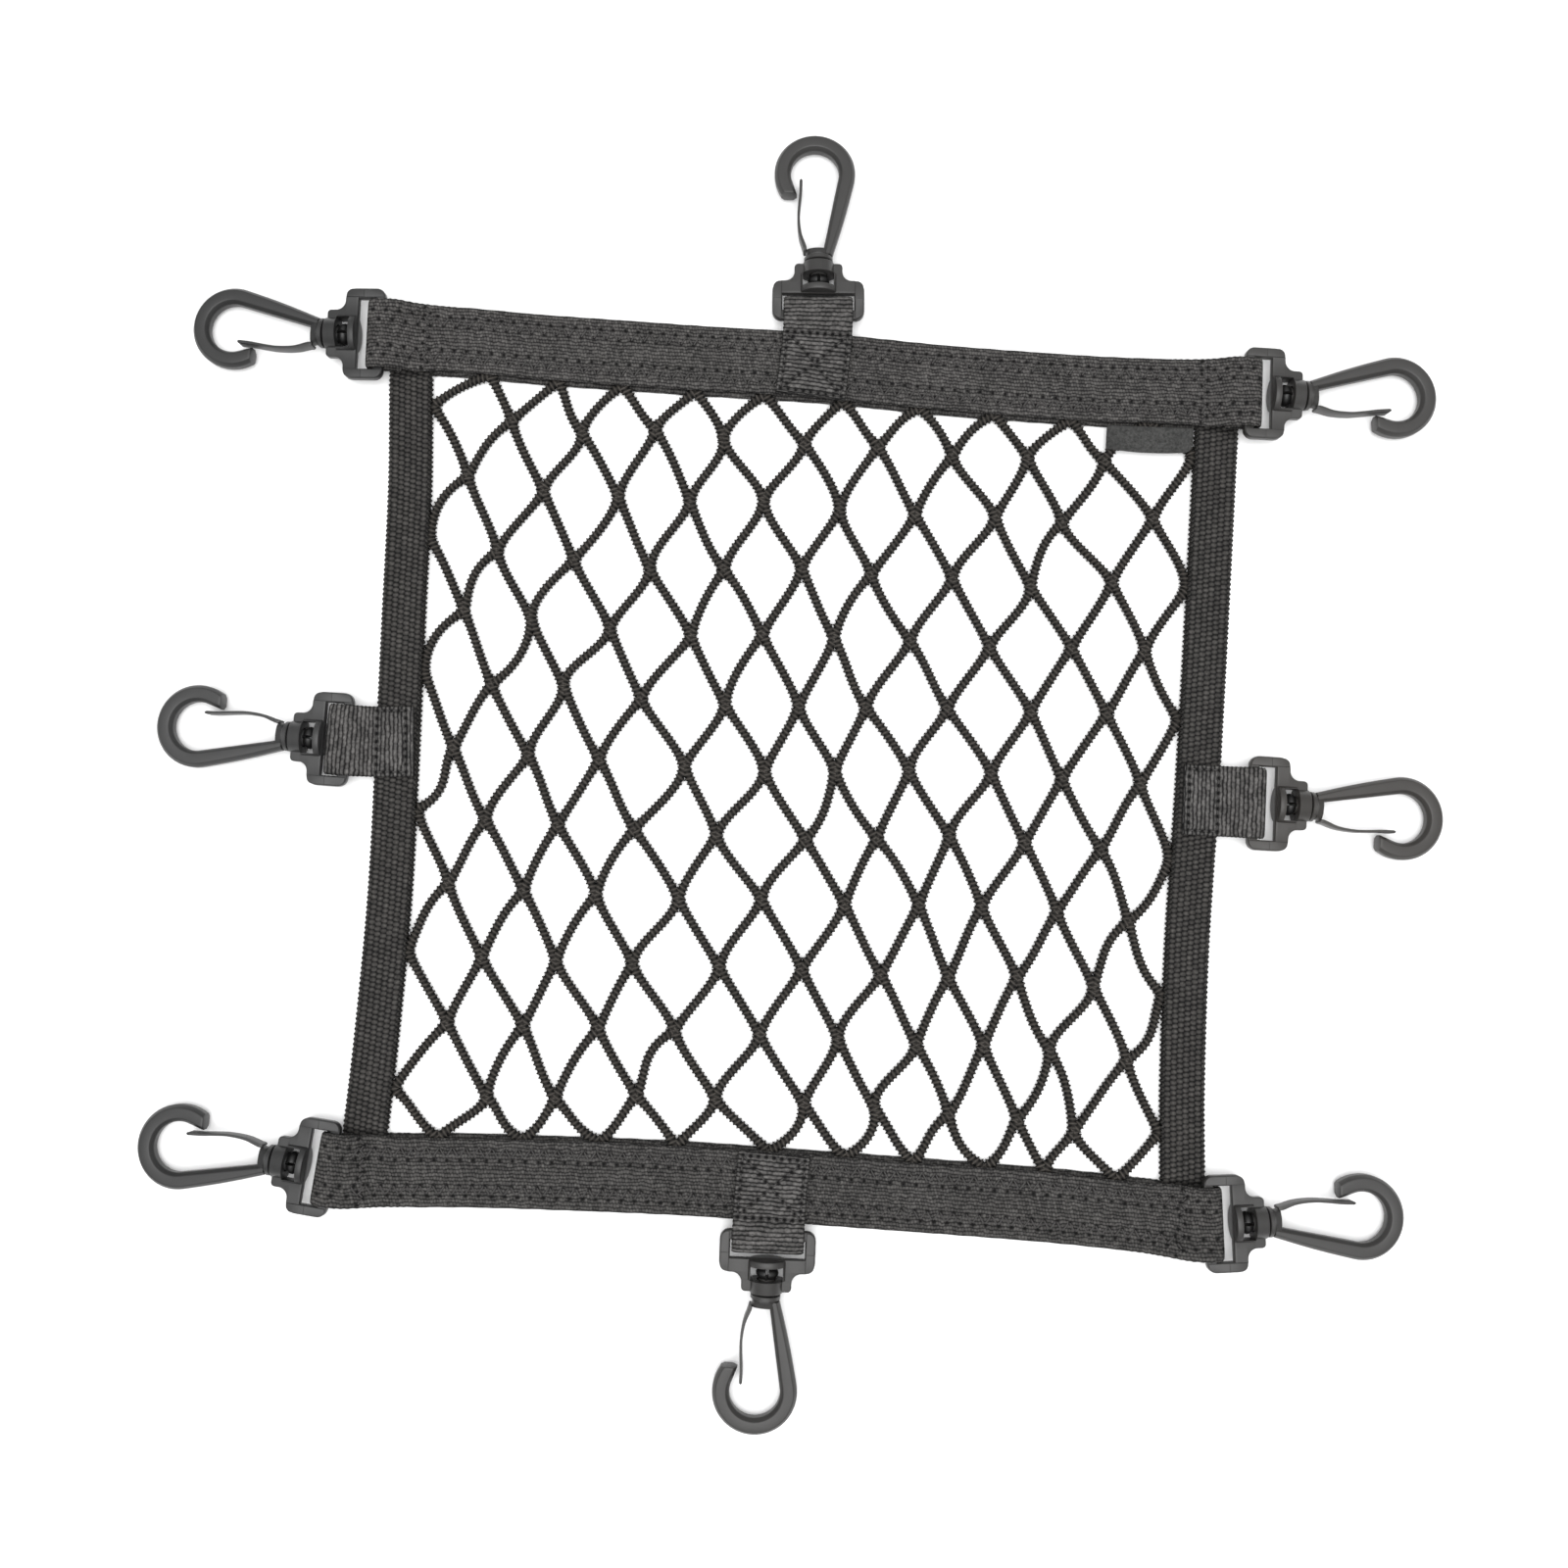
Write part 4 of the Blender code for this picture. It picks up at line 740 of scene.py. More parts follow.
def normals_of(line, closed):
    """The direction square to a line at each of its points."""
    ahead = np.roll(line, -1, 0) - np.roll(line, 1, 0) if closed else np.gradient(line, axis=0)
    ahead /= np.linalg.norm(ahead, axis=1)[:, None]
    return np.stack([ahead[:, 1], -ahead[:, 0]], 1)


def band_spot(which, x, across):
    """The plan place across millimetres from a wide band's middle line, beside x on it."""
    y, slope = band_middle(which, x)
    length = np.hypot(1.0, slope)
    return x - across * slope / length, y + across / length


def band_skin(which):
    """A wide band's skin: drawn in along its zigzag seams, wider above on its outer side."""
    line, start, end = band_path(which)
    near = np.minimum(line[:, 0] - start, end - line[:, 0])
    keep = (near < BAND_END) | (np.arange(len(line)) % BAND_THINNING == 0)
    normal = -normals_of(line, True)
    steps = np.linalg.norm(np.diff(line, axis=0), axis=1)
    lengths = np.concatenate([[0.0], np.cumsum(steps)])
    line, normal, lengths, near = line[keep], normal[keep], lengths[keep, None], near[keep]
    across, lift = cloth_section(BAND_WIDTH, BAND_COLUMNS, LAYER)
    half = BAND_WIDTH / 2
    outwards = 1 if which == "top" else -1
    upper = (line[:, 1] > UPPER_FROM) * np.clip((near - STRIP_START) / STRIP_RUN, 0.0, 1.0)
    strip = outwards * HEM_STRIP * upper[:, None]
    wide = across[None] + strip * (1 - outwards * across[None] / half) / 2
    edge = (np.abs(across[None]) / half) ** EDGE_REACH
    wave = np.sin(lengths * EDGE_WAVES[0] + np.sin(lengths * EDGE_WAVES[1]))
    wide = wide + np.sign(across) * edge * EDGE_WAVE * wave
    outer = lift > EDGE_LIFT
    seam = np.zeros_like(wide)
    for row in (-1, 1):
        seam += np.exp(-((np.abs(wide - row * (half - ZIGZAG_IN)) / SEAM_HALF) ** 4))
    pucker = 0.5 + 0.5 * np.sin(lengths * math.pi / ZIGZAG_PITCH + wide)
    sunk = np.clip(near / SINK_RUN, 0, 1)[:, None] * outer * seam
    sunk = sunk * (SEAM_SINK + PUCKER_SINK * pucker)
    flat = line[:, None] + normal[:, None] * (lift[None] - sunk)[:, :, None]
    x, y = band_spot(which, flat[:, :, 0], wide)
    points = np.stack([x, y, flat[:, :, 1]], 2)
    face_up = (line[:, 1] > LEVEL_FROM)[:, None] & (lift > -0.01)[None]
    seen = np.where(face_up, flat[:, :, 0], UNSEEN)
    lie = np.stack(np.broadcast_arrays(lengths, across[None], seen), 2)
    return skin(points, lie, closed_along=True)


def weave_group():
    """Ribs that run along the cloth, each one a row of small picks: how high the threads stand."""
    group, given, gives = group_tree(
        "ribbed weave",
        [
            ("Lie", "NodeSocketVector", None),
            ("Rib Pitch", "NodeSocketFloat", 1.36),
            ("Rib Groove", "NodeSocketFloat", 0.7),
            ("Pick Pitch", "NodeSocketFloat", 0.8),
            ("Pick Groove", "NodeSocketFloat", 0.4),
            ("Stagger", "NodeSocketFloat", 0.5),
            ("Unevenness", "NodeSocketFloat", 0.3),
            ("Waver", "NodeSocketFloat", 0.0),
        ],
        [("Height", "NodeSocketFloat")],
    )
    work = sums(group)
    along, across, _ = split(group, given.outputs["Lie"])
    wander = group.nodes.new("ShaderNodeTexNoise")
    wander.inputs["Scale"].default_value = RIB_WANDER
    group.links.new(given.outputs["Lie"], wander.inputs["Vector"])
    aside = work("MULTIPLY", work("SUBTRACT", wander.outputs["Fac"], 0.5), given.outputs["Waver"])
    rib = work("DIVIDE", work("ADD", across, aside), given.outputs["Rib Pitch"])
    row = work("FLOOR", rib)
    shift = work("MULTIPLY", row, given.outputs["Stagger"])
    pick = work("ADD", work("DIVIDE", along, given.outputs["Pick Pitch"]), shift)
    chance = group.nodes.new("ShaderNodeTexWhiteNoise")
    chance.noise_dimensions = "2D"
    which = group.nodes.new("ShaderNodeCombineXYZ")
    group.links.new(row, which.inputs[0])
    group.links.new(work("FLOOR", pick), which.inputs[1])
    group.links.new(which.outputs[0], chance.inputs["Vector"])
    lower = work("MULTIPLY", chance.outputs["Value"], given.outputs["Unevenness"])
    height = work("SUBTRACT", 1.0, lower)
    for place, groove in ((rib, "Rib Groove"), (pick, "Pick Groove")):
        crest = work("ABSOLUTE", work("SINE", work("MULTIPLY", place, math.pi)))
        low = work("MULTIPLY", work("SUBTRACT", 1.0, crest), given.outputs[groove])
        height = work("SUBTRACT", height, low, clamp=True)
    group.links.new(height, gives.inputs["Height"])
    return group


def hole_group():
    """Needle holes in a zigzag along a line of the cloth: 1 in a hole, falling to 0 round it."""
    group, given, gives = group_tree(
        "needle holes",
        [
            ("Lie", "NodeSocketVector", None),
            ("Line", "NodeSocketFloat", 6.5),
            ("Pitch", "NodeSocketFloat", 2.3),
            ("Zigzag", "NodeSocketFloat", 1.8),
            ("Size", "NodeSocketFloat", 0.6),
        ],
        [("Hole", "NodeSocketFloat")],
    )
    work = sums(group)
    along, across, _ = split(group, given.outputs["Lie"])
    steps = work("DIVIDE", along, given.outputs["Pitch"])
    number = work("ROUND", steps)
    beside = work("MULTIPLY", work("SUBTRACT", steps, number), given.outputs["Pitch"])
    side = work("SUBTRACT", work("MULTIPLY", work("FLOORED_MODULO", number, 2.0), 2.0), 1.0)
    line = work("ADD", given.outputs["Line"], work("MULTIPLY", side, given.outputs["Zigzag"]))
    off = work("SUBTRACT", work("ABSOLUTE", across), line)
    squares = work("ADD", work("MULTIPLY", beside, beside), work("MULTIPLY", off, off))
    far = work("DIVIDE", work("SQRT", squares), given.outputs["Size"])
    group.links.new(work("SUBTRACT", HOLE_RIM, far, clamp=True), gives.inputs["Hole"])
    return group


def seam_group():
    """Needle holes along a straight seam, added to those before: 1 in a hole, 0 clear of it."""
    group, given, gives = group_tree(
        "straight seam",
        [
            ("Lie", "NodeSocketVector", None),
            ("Start", "NodeSocketVector", None),
            ("Step", "NodeSocketVector", None),
            ("Count", "NodeSocketFloat", 4.0),
            ("Size", "NodeSocketFloat", 0.6),
            ("Before", "NodeSocketFloat", 0.0),
        ],
        [("Hole", "NodeSocketFloat")],
    )
    work = sums(group)
    x, y, _ = split(group, given.outputs["Lie"])
    x0, y0, _ = split(group, given.outputs["Start"])
    dx, dy, _ = split(group, given.outputs["Step"])
    x, y = work("SUBTRACT", x, x0), work("SUBTRACT", y, y0)
    run = work("ADD", work("MULTIPLY", x, dx), work("MULTIPLY", y, dy))
    size = work("ADD", work("MULTIPLY", dx, dx), work("MULTIPLY", dy, dy))
    number = work("ROUND", work("DIVIDE", run, size))
    number = work("MINIMUM", work("MAXIMUM", number, 0.0), given.outputs["Count"])
    x = work("SUBTRACT", x, work("MULTIPLY", dx, number))
    y = work("SUBTRACT", y, work("MULTIPLY", dy, number))
    far = work("SQRT", work("ADD", work("MULTIPLY", x, x), work("MULTIPLY", y, y)))
    hole = work("SUBTRACT", HOLE_RIM, work("DIVIDE", far, given.outputs["Size"]), clamp=True)
    group.links.new(work("MAXIMUM", hole, given.outputs["Before"]), gives.inputs["Hole"])
    return group


def webbing_finish(name, dark, light, weave, holes=None, seams=(), seam_axes=(0, 1), relief=None):
    """Ribbed webbing, with fibre and dust, and painted shade in its hollows and in its needle
    holes.

    Each straight seam is a (start, step, count) on two axes of the places in the cloth.
    """
    stuff, tree, shader, lie = finish(name, CLOTH_ROUGHNESS, CLOTH_GLOSS)
    cloth = placed_group(tree, WEAVE, lie, **weave)
    height = cloth.outputs["Height"]
    # the colour follows the weave's height: painted shade in its hollows
    colour = blend_colour(tree, height, dark, light)
    punched = None
    if holes:
        punched = placed_group(tree, HOLES, lie, **holes).outputs["Hole"]
    if seams:
        places = split(tree, lie)
        flat = tree.nodes.new("ShaderNodeCombineXYZ")
        for socket, axis in zip(flat.inputs, seam_axes):
            tree.links.new(places[axis], socket)
        for start, step, count in seams:
            row = {"start": (*start, 0.0), "step": (*step, 0.0), "count": count}
            if punched:
                row["before"] = punched
            group = placed_group(tree, SEAM, flat.outputs[0], size=HOLE_SIZE, **row)
            punched = group.outputs["Hole"]
    if punched:
        # painted shade in the needle holes
        colour = blend_colour(tree, punched, colour, HOLE_SHADE)
        work = sums(tree)
        height = work("SUBTRACT", height, work("MULTIPLY", punched, HOLE_DEPTH))
    dusty = placed_group(tree, SPECKLE, lie, color=colour, clouds=0.22, specks=0.9, speck_scale=1.1)
    tree.links.new(dusty.outputs["Color"], shader.inputs["Base Color"])
    raised(tree, shader, height, relief or RIB_RELIEF)
    return stuff


def thread_finish(name, colour):
    """Twisted sewing thread, a little smoother than the webbing."""
    stuff, tree, shader, lie = finish(name, THREAD_ROUGHNESS, CLOTH_GLOSS)
    marks = {"clouds": 0.2, "specks": 0.3, "speck_scale": 5.0}
    dusty = placed_group(tree, SPECKLE, lie, color=(*colour, 1.0), **marks)
    tree.links.new(dusty.outputs["Color"], shader.inputs["Base Color"])
    raised(tree, shader, dusty.outputs["Speck"], THREAD_RELIEF)
    return stuff


def stitch_skins(holes):
    """Threads from hole to hole: each rises a little over the cloth and dips at both its ends."""
    share = np.linspace(0.0, 1.0, len(THREAD_RISE))[:, None]
    rise = np.array(THREAD_RISE)[:, None] * THREAD
    turns = np.linspace(0.0, 2 * math.pi, THREAD_SIDES, endpoint=False)[:, None]
    for start, end in zip(holes[:-1], holes[1:]):
        start, end = np.array(start), np.array(end)
        ahead = (end - start) / np.linalg.norm(end - start)
        middle = start + (end - start) * share + rise * UP
        round_it = np.cos(turns) * np.cross(ahead, UP) + np.sin(turns) * UP
        points = middle[:, None] + round_it[None] * THREAD
        yield skin(points, points)


def band_stitches(which):
    """Two rows of zigzag along the band, and one across it over each side band."""
    line, start, end = band_path(which)
    upper = line[line[:, 1] > LEVEL_FROM]
    upper = upper[np.argsort(upper[:, 0])]

    def spot(x, across):
        height = np.interp(x, upper[:, 0], upper[:, 1]) + LAYER / 2 - THREAD_DEPTH
        return (*(float(place) for place in band_spot(which, x, across)), float(height))

    first = math.ceil((start + ZIGZAG_MARGIN) / ZIGZAG_PITCH) * ZIGZAG_PITCH
    numbers = range(int((end - ZIGZAG_MARGIN - first) / ZIGZAG_PITCH))
    for row in (-1, 1):
        middle = row * (BAND_WIDTH / 2 - ZIGZAG_IN)
        sides = [row * ZIGZAG_HALF * (1 if n % 2 else -1) for n in numbers]
        places = [(first + n * ZIGZAG_PITCH, middle + side) for n, side in zip(numbers, sides)]
        yield from stitch_skins([spot(*place) for place in places])
    for x in END_SEAMS[which]:
        places = [
            (x + END_SEAM_HALF * (1 if n % 2 else -1), n * ZIGZAG_PITCH - END_SEAM_LONG)
            for n in range(END_SEAM_STEPS + 1)
        ]
        yield from stitch_skins([spot(*place) for place in places])


def band_finish(which):
    """Webbing with the needle holes of the band's two zigzag rows and of its end seams."""
    weave = {
        "rib_pitch": RIB_PITCH,
        "rib_groove": 0.62,
        "pick_pitch": 1.1,
        "pick_groove": 0.3,
        "stagger": 0.37,
        "unevenness": 0.45,
        "waver": 1.8,
    }
    holes = {
        "line": BAND_WIDTH / 2 - ZIGZAG_IN,
        "pitch": ZIGZAG_PITCH,
        "zigzag": ZIGZAG_HALF,
        "size": HOLE_SIZE,
    }
    seams = []
    for x in END_SEAMS[which]:
        for side, first in ((-1, 0), (1, 1)):
            start = (x + side * END_SEAM_HALF, first * ZIGZAG_PITCH - END_SEAM_LONG)
            seams.append((start, (0.0, 2 * ZIGZAG_PITCH), END_SEAM_STEPS // 2 - first))
    name, light = f"{which} band webbing", WEBBING_LIGHT[which]
    return webbing_finish(name, WEBBING_GROOVE_SHADE, light, weave, holes, seams, (2, 1))


WEAVE, HOLES, SEAM = weave_group(), hole_group(), seam_group()
seam_thread = thread_finish("seam thread", THREAD_COLOUR)
for which in ("top", "bottom"):
    band = made(f"{which}_band", [band_skin(which)], band_finish(which))
    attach(band, "net")
    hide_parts(f"band_{which}")
    seam = made(f"{which}_band_stitches", list(band_stitches(which)), seam_thread)
    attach(seam, "net")

# ---------------------------------------------------------------- side bands
# Narrower webbing, folded over each side edge of the netting and sewn down. Its weave is open and
# coarse, with a row of small loops along its edges. Its ends run in between the wide bands' layers.
SIDE_PITCH, SIDE_STEPS, SIDE_EASING, SIDE_ROUNDING = 1.8, 4, 6, 0.5
SIDE_LOOP, LOOP_LIFT, FRINGE = 0.42, 0.10, 1.6  # the small loops along its edges,
FOLD_LOOP, FOLD_FRINGE = 0.7, 1.2  # and along its fold
SIDE_END, SIDE_END_IN_BAND = 140.0, 3.0
SIDE_PINCH_START, SIDE_PINCH_END = 1.6, 0.2  # where it is flattened, from the band's inner edge
# the first colour is painted shade in the hollows of the open weave
SIDE_GROOVE_SHADE, SIDE_LIGHT, SIDE_RELIEF = (0.003, 0.003, 0.003), (0.055, 0.052, 0.049), 0.4


def side_skin(which):
    """A folded side band's skin, with its length and its width laid flat."""
    outwards = -1 if which == "left" else 1
    inside, outside = -SIDE_WIDTH / 2, SIDE_WIDTH / 2 - LAYER / 2
    path = np.array(((inside, LOW), (outside, LOW), (outside, HIGH), (inside, HIGH)))
    path, _ = spaced(path, 0.55)
    path, along_path = spaced(softened(path, SIDE_EASING), 1.1)
    width = along_path[-1]
    normal = normals_of(path, False)
    to_end = np.minimum(along_path, width - along_path)
    rounded = np.clip(to_end / SIDE_ROUNDING, 0.0, 1.0) ** 0.5
    lift = np.concatenate([rounded, -rounded[-2:0:-1]]) * LAYER / 2
    ring = np.concatenate([np.arange(len(path)), np.arange(len(path))[-2:0:-1]])
    flat = path[ring] + normal[ring] * -lift[:, None]
    low = float(inner_edge("bottom", side_middle(which, -SIDE_END))) - SIDE_END_IN_BAND
    high = float(inner_edge("top", side_middle(which, SIDE_END))) + SIDE_END_IN_BAND
    y = np.arange(low, high, SIDE_PITCH / SIDE_STEPS)[:, None]
    loops = np.cos(2 * math.pi * y / SIDE_PITCH)
    fringe = np.clip(1.0 - to_end[ring] / FRINGE, 0.0, 1.0)
    folded = np.clip(1.0 - (outside + LAYER / 2 - flat[:, 0]) / FOLD_FRINGE, 0.0, 1.0)
    across = flat[:, 0] + SIDE_LOOP * loops * (folded * FOLD_LOOP - fringe)
    x = side_middle(which, y[:, 0])[:, None] + outwards * across
    x, y, z = np.broadcast_arrays(x, y, flat[:, 1] + LOOP_LIFT * loops * fringe)
    depth = np.minimum(inner_edge("top", x) - y, y - inner_edge("bottom", x))
    full = np.clip((depth - SIDE_PINCH_END) / (SIDE_PINCH_START - SIDE_PINCH_END), 0.0, 1.0)
    pinched = LAYER + GAP / 2 + (z / (2 * LAYER + SLIT)) * (SLIT - GAP)
    z = pinched + (z - pinched) * full
    lie = np.stack(np.broadcast_arrays(y, along_path[ring] - width / 2, lift), 2)
    return skin(np.stack([x, y, z], 2), lie), float(high - low), float(width)


side_finish = webbing_finish(
    "side webbing",
    SIDE_GROOVE_SHADE,
    SIDE_LIGHT,
    {
        "rib_pitch": 2.15,
        "rib_groove": 0.5,
        "pick_pitch": SIDE_PITCH,
        "pick_groove": 0.75,
        "stagger": 0.3,
        "unevenness": 0.25,
        "waver": 0.5,
    },
    relief=SIDE_RELIEF,
)
for which in ("left", "right"):
    cloth, length, width = side_skin(which)
    side = made(f"{which}_side_band", [cloth], side_finish)
    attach(side, "net")
    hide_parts(f"side_{which}")

# ---------------------------------------------------------------- tabs
# Short ends of crossways-ribbed webbing: each is folded round the bar of a middle hook, laid on
# its band and sewn through, with a stitched box, crossed at the top and bottom.
TAB_WIDTH, TAB_LAYER, TAB_RIB = 25.2, 1.2, 1.5
TAB_COLUMNS, TAB_STEP, TAB_EASING = 23, 0.4, 8
TAB_UNDER, TAB_SLOPE, TAB_OVER = 3.6, 5.0, 8.0  # from the bar: level below, sloping, level above
TAB_LIFT = 0.2
TAB_END_RUN, TAB_END_SHARE = 0.4, 0.35  # how a tab's thickness eases off at its two ends
RIB_HEIGHT, RIB_BOLD = 0.07, 1.2  # how high the tab's ribs are, and how much bolder over the bar
FRAY, FRAY_WIDTH = 0.09, 0.4  # how far they stand out at the tab's edges
SEAM_DEPTH, SEAM_REACH = 0.42, 0.9
BAND_TOP = 2 * LAYER + SLIT
TABS = (
    # name, end x, end y, fold, first stitches, last stitches, crossed
    ("top", 0.4, 141.7, -12.5, 6.8, 28.4, True),
    ("left", -133.6, 6.3, -12.5, 10.9, 21.2, False),
    ("right", 142.9, 3.3, -15.0, 12.4, 22.8, False),
    ("bottom", 5.1, -131.2, -13.2, 5.8, 26.6, True),
)
TAB_STITCH, TAB_BOX_HALF, STITCH_INSET, STITCH_DEPTH = 2.9, 11.0, 0.16, 0.25
# the first colour is painted shade in the hollows between the ribs
TAB_GROOVE_SHADE, TAB_LIGHT = (0.005, 0.005, 0.005), (0.108, 0.104, 0.101)


def tab_way(row):
    """A tab's bar, the ways along and across it, its length, and how far its end lies aside."""
    name, end_x, end_y = row[:3]
    bar_x, bar_y, angle = beside_collar(name, BAR_MIDDLE)
    bar = np.array((bar_x, bar_y))
    forward = np.array((-math.cos(angle), -math.sin(angle)))
    sideways = np.array((-forward[1], forward[0]))
    gone = np.array((end_x, end_y)) - bar
    return bar, forward, sideways, float(gone @ forward), float(gone @ sideways)


def tab_spot(way, run, across):
    """The plan place run millimetres from a tab's bar and across from its middle line."""
    bar, forward, sideways, length, aside = way
    ends = [(0.0, 0.0), (length, aside)]
    shift, slope = smooth_line(ends, np.maximum(run, 0.0), 0.0, 1.5 * aside / length)
    run = run - across * slope
    return bar + run[..., None] * forward + (shift + across)[..., None] * sideways


def stitch_rows(row):
    """The straight rows of stitches on a tab, as pairs of (run, across) ends."""
    first, last, crossed = row[4:]
    half = TAB_BOX_HALF
    rows = [((first, -half), (first, half)), ((last, half), (last, -half))]
    rows += [((first, half), (last, half)), ((last, -half), (first, -half))]
    if crossed:
        rows += [((first, -half), (last, half)), ((first, half), (last, -half))]
    return [(np.array(start), np.array(end)) for start, end in rows]


def stitch_count(start, end):
    """How many stitches a straight row has."""
    return max(int(round(np.linalg.norm(end - start) / TAB_STITCH)), 1)


def seam_depth(row, run, across):
    """How far the stitches draw a tab's cloth down, from 0 to 1."""
    drawn = np.zeros(np.broadcast(run, across).shape)
    for start, end in stitch_rows(row):
        way = end - start
        share = ((run - start[0]) * way[0] + (across - start[1]) * way[1]) / (way @ way)
        share = np.clip(share, 0.0, 1.0)
        far = np.hypot(run - start[0] - share * way[0], across - start[1] - share * way[1])
        drawn = np.maximum(drawn, np.exp(-((far / SEAM_REACH) ** 2)))
    return drawn


def tab_path(row):
    """The middle line of a tab's thickness, as (run, height), from its lower end to its upper."""
    length, fold = tab_way(row)[3], row[3]
    lower = BAND_TOP + GAP + TAB_LAYER / 2
    upper = lower + TAB_LAYER + GAP
    loop = loop_path(fold, TAB_LAYER)
    path = [(length, lower), (length * 0.5, lower), (TAB_UNDER, lower), *loop]
    path += [(TAB_SLOPE, (upper + loop[-1][1]) / 2), (TAB_OVER, upper + TAB_LIFT)]
    path += [(length * 0.6, upper), (length, upper)]
    line, _ = spaced(np.array(path), TAB_STEP)
    return spaced(softened(line, TAB_EASING), TAB_RIB / 4)


def tab_skin(row):
    """A tab's skin, ribbed across and drawn in by its stitches, and its length laid flat."""
    way = tab_way(row)
    line, along = tab_path(row)
    length = along[-1]
    normal = -normals_of(line, False)
    across, lift = cloth_section(TAB_WIDTH, TAB_COLUMNS, TAB_LAYER)
    top = np.interp(along, [0, length / 2 - 0.1, length / 2 + 0.1], [0.0, 0.0, 1.0])
    run, wave = line[:, 0], np.cos(2 * math.pi * along / TAB_RIB)
    bold = top * np.clip(row[4] - 1.0 - run, 0, 1) * np.clip((run + 4.0) / 2.0, 0, 1)
    ribs = RIB_HEIGHT * wave * (1 + RIB_BOLD * bold)
    drawn = SEAM_DEPTH * top[:, None] * seam_depth(row, run[:, None], across[None])
    rise = lift + ribs[:, None] * np.sign(lift) * (np.abs(lift) > EDGE_LIFT) - drawn * (lift > 0.05)
    easing = np.minimum(along, length - along) / TAB_END_RUN + TAB_END_SHARE
    rise = rise * np.clip(easing, 0.0, 1.0)[:, None]
    flat = line[:, None] + normal[:, None] * rise[:, :, None]
    fray = np.sign(across) * (np.abs(across) > TAB_WIDTH / 2 - FRAY_WIDTH) * FRAY
    plan = tab_spot(way, flat[:, :, 0], across[None] + fray[None] * wave[:, None])
    points = np.concatenate([plan, flat[:, :, 1:]], 2)
    seen = np.where((top > 0.5)[:, None] & (lift > -0.2)[None], flat[:, :, 0], UNSEEN)
    lie = np.stack(np.broadcast_arrays(across[None], along[:, None], seen), 2)
    return skin(points, lie), float(length)


def tab_height(row, run):
    """Height of the stitches on the tab's upper face, run millimetres from its bar."""
    line, along = tab_path(row)
    upper = line[along > along[-1] / 2 + 3.0]
    return np.interp(run, upper[:, 0], upper[:, 1]) + TAB_LAYER / 2 - STITCH_DEPTH


def tab_stitches(row):
    """Short separate stitches along each row, from hole to hole."""
    way = tab_way(row)
    for start, end in stitch_rows(row):
        share = np.linspace(0, 1, stitch_count(start, end) + 1)[:, None]
        run, across = (start + (end - start) * share).T
        holes = np.column_stack([tab_spot(way, run, across), tab_height(row, run)])
        for a, b in zip(holes[:-1], holes[1:]):
            inset = (b - a) * STITCH_INSET
            yield from stitch_skins([a + inset, b - inset])


def tab_finish(row):
    """Webbing whose ribs run across the tab, with the needle holes of its stitches."""
    seams = []
    for start, end in stitch_rows(row):
        start, end, count = start[::-1], end[::-1], stitch_count(start, end)
        seams.append((start.tolist(), ((end - start) / count).tolist(), count))
    weave = {
        "rib_pitch": TAB_RIB,
        "rib_groove": 0.85,
        "pick_pitch": 2.3,
        "pick_groove": 0.2,
        "stagger": 0.43,
        "unevenness": 0.4,
        "waver": 1.2,
    }
    return webbing_finish(f"{row[0]} tab webbing", TAB_GROOVE_SHADE, TAB_LIGHT, weave, None, seams, (0, 2))


for row in TABS:
    cloth, length = tab_skin(row)
    tab = made(f"{row[0]}_tab", [cloth], tab_finish(row))
    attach(tab, "net")
    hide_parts(f"tab_{row[0]}")
    seam = made(f"{row[0]}_tab_stitches", list(tab_stitches(row)), seam_thread)
    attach(seam, "net")

# ---------------------------------------------------------------- label
# A plain woven label, doubled over and caught under the top band near its right end. It is bare.
LABEL_LEFT, LABEL_RIGHT, LABEL_LOW, LABEL_CORNER = 109.3, 141.0, 129.8, 3.0
LABEL_THICK, LABEL_SAG, LABEL_DROP = 0.8, 0.9, 0.6  # its left end hangs lower than its right
LABEL_COLUMNS, LABEL_ROWS, LABEL_ROUNDING = 28, 14, 0.5
LABEL_WAVE, LABEL_RIDGE = 0.12, 0.16
# the first colour is painted shade in the hollows of the weave
LABEL_GROOVE_SHADE, LABEL_LIGHT, LABEL_RELIEF = (0.030, 0.030, 0.029), (0.046, 0.046, 0.045), 0.08


def label_skin():
    """The label's skin: it sags a little, waves gently, and has a rounded lower right corner."""
    across = np.linspace(0.0, 1.0, LABEL_COLUMNS)
    down = np.linspace(0.0, 1.0, LABEL_ROWS)
    x = LABEL_LEFT + (LABEL_RIGHT - LABEL_LEFT) * across
    top = inner_edge("top", x) - GAP
    low = LABEL_LOW + LABEL_DROP - LABEL_SAG * np.sin(math.pi * across)
    corner = np.clip((x - (LABEL_RIGHT - LABEL_CORNER)) / LABEL_CORNER, 0, 1)
    low = low + LABEL_CORNER * (1 - np.sqrt(1 - corner**2 * 0.98)) - LABEL_DROP * (1 - across)
    plan_y = top[:, None] + (low - top)[:, None] * down[None]
    plan_x = np.broadcast_to(x[:, None], plan_y.shape)
    height = CORD_THICKNESS + GAP + LABEL_THICK / 2
    height = height + LABEL_WAVE * np.sin(plan_x * 0.5 + 1.0) * down[None]
    height = height + LABEL_RIDGE * np.exp(-((plan_x - LABEL_LEFT - 2.0) ** 2))
    edge = np.minimum(
        np.minimum(across[:, None], 1 - across[:, None]) * (LABEL_RIGHT - LABEL_LEFT),
        np.minimum(down[None] + 0.05, 1 - down[None]) * 11.0,
    )
    half = LABEL_THICK / 2 * np.clip(edge / LABEL_ROUNDING, 0.0, 1.0) ** 0.5
    front, back = (np.stack([plan_x, plan_y, height + half * side], 2) for side in (1, -1))
    both = np.concatenate([front, back[:, ::-1]], 1)
    return skin(both, both)


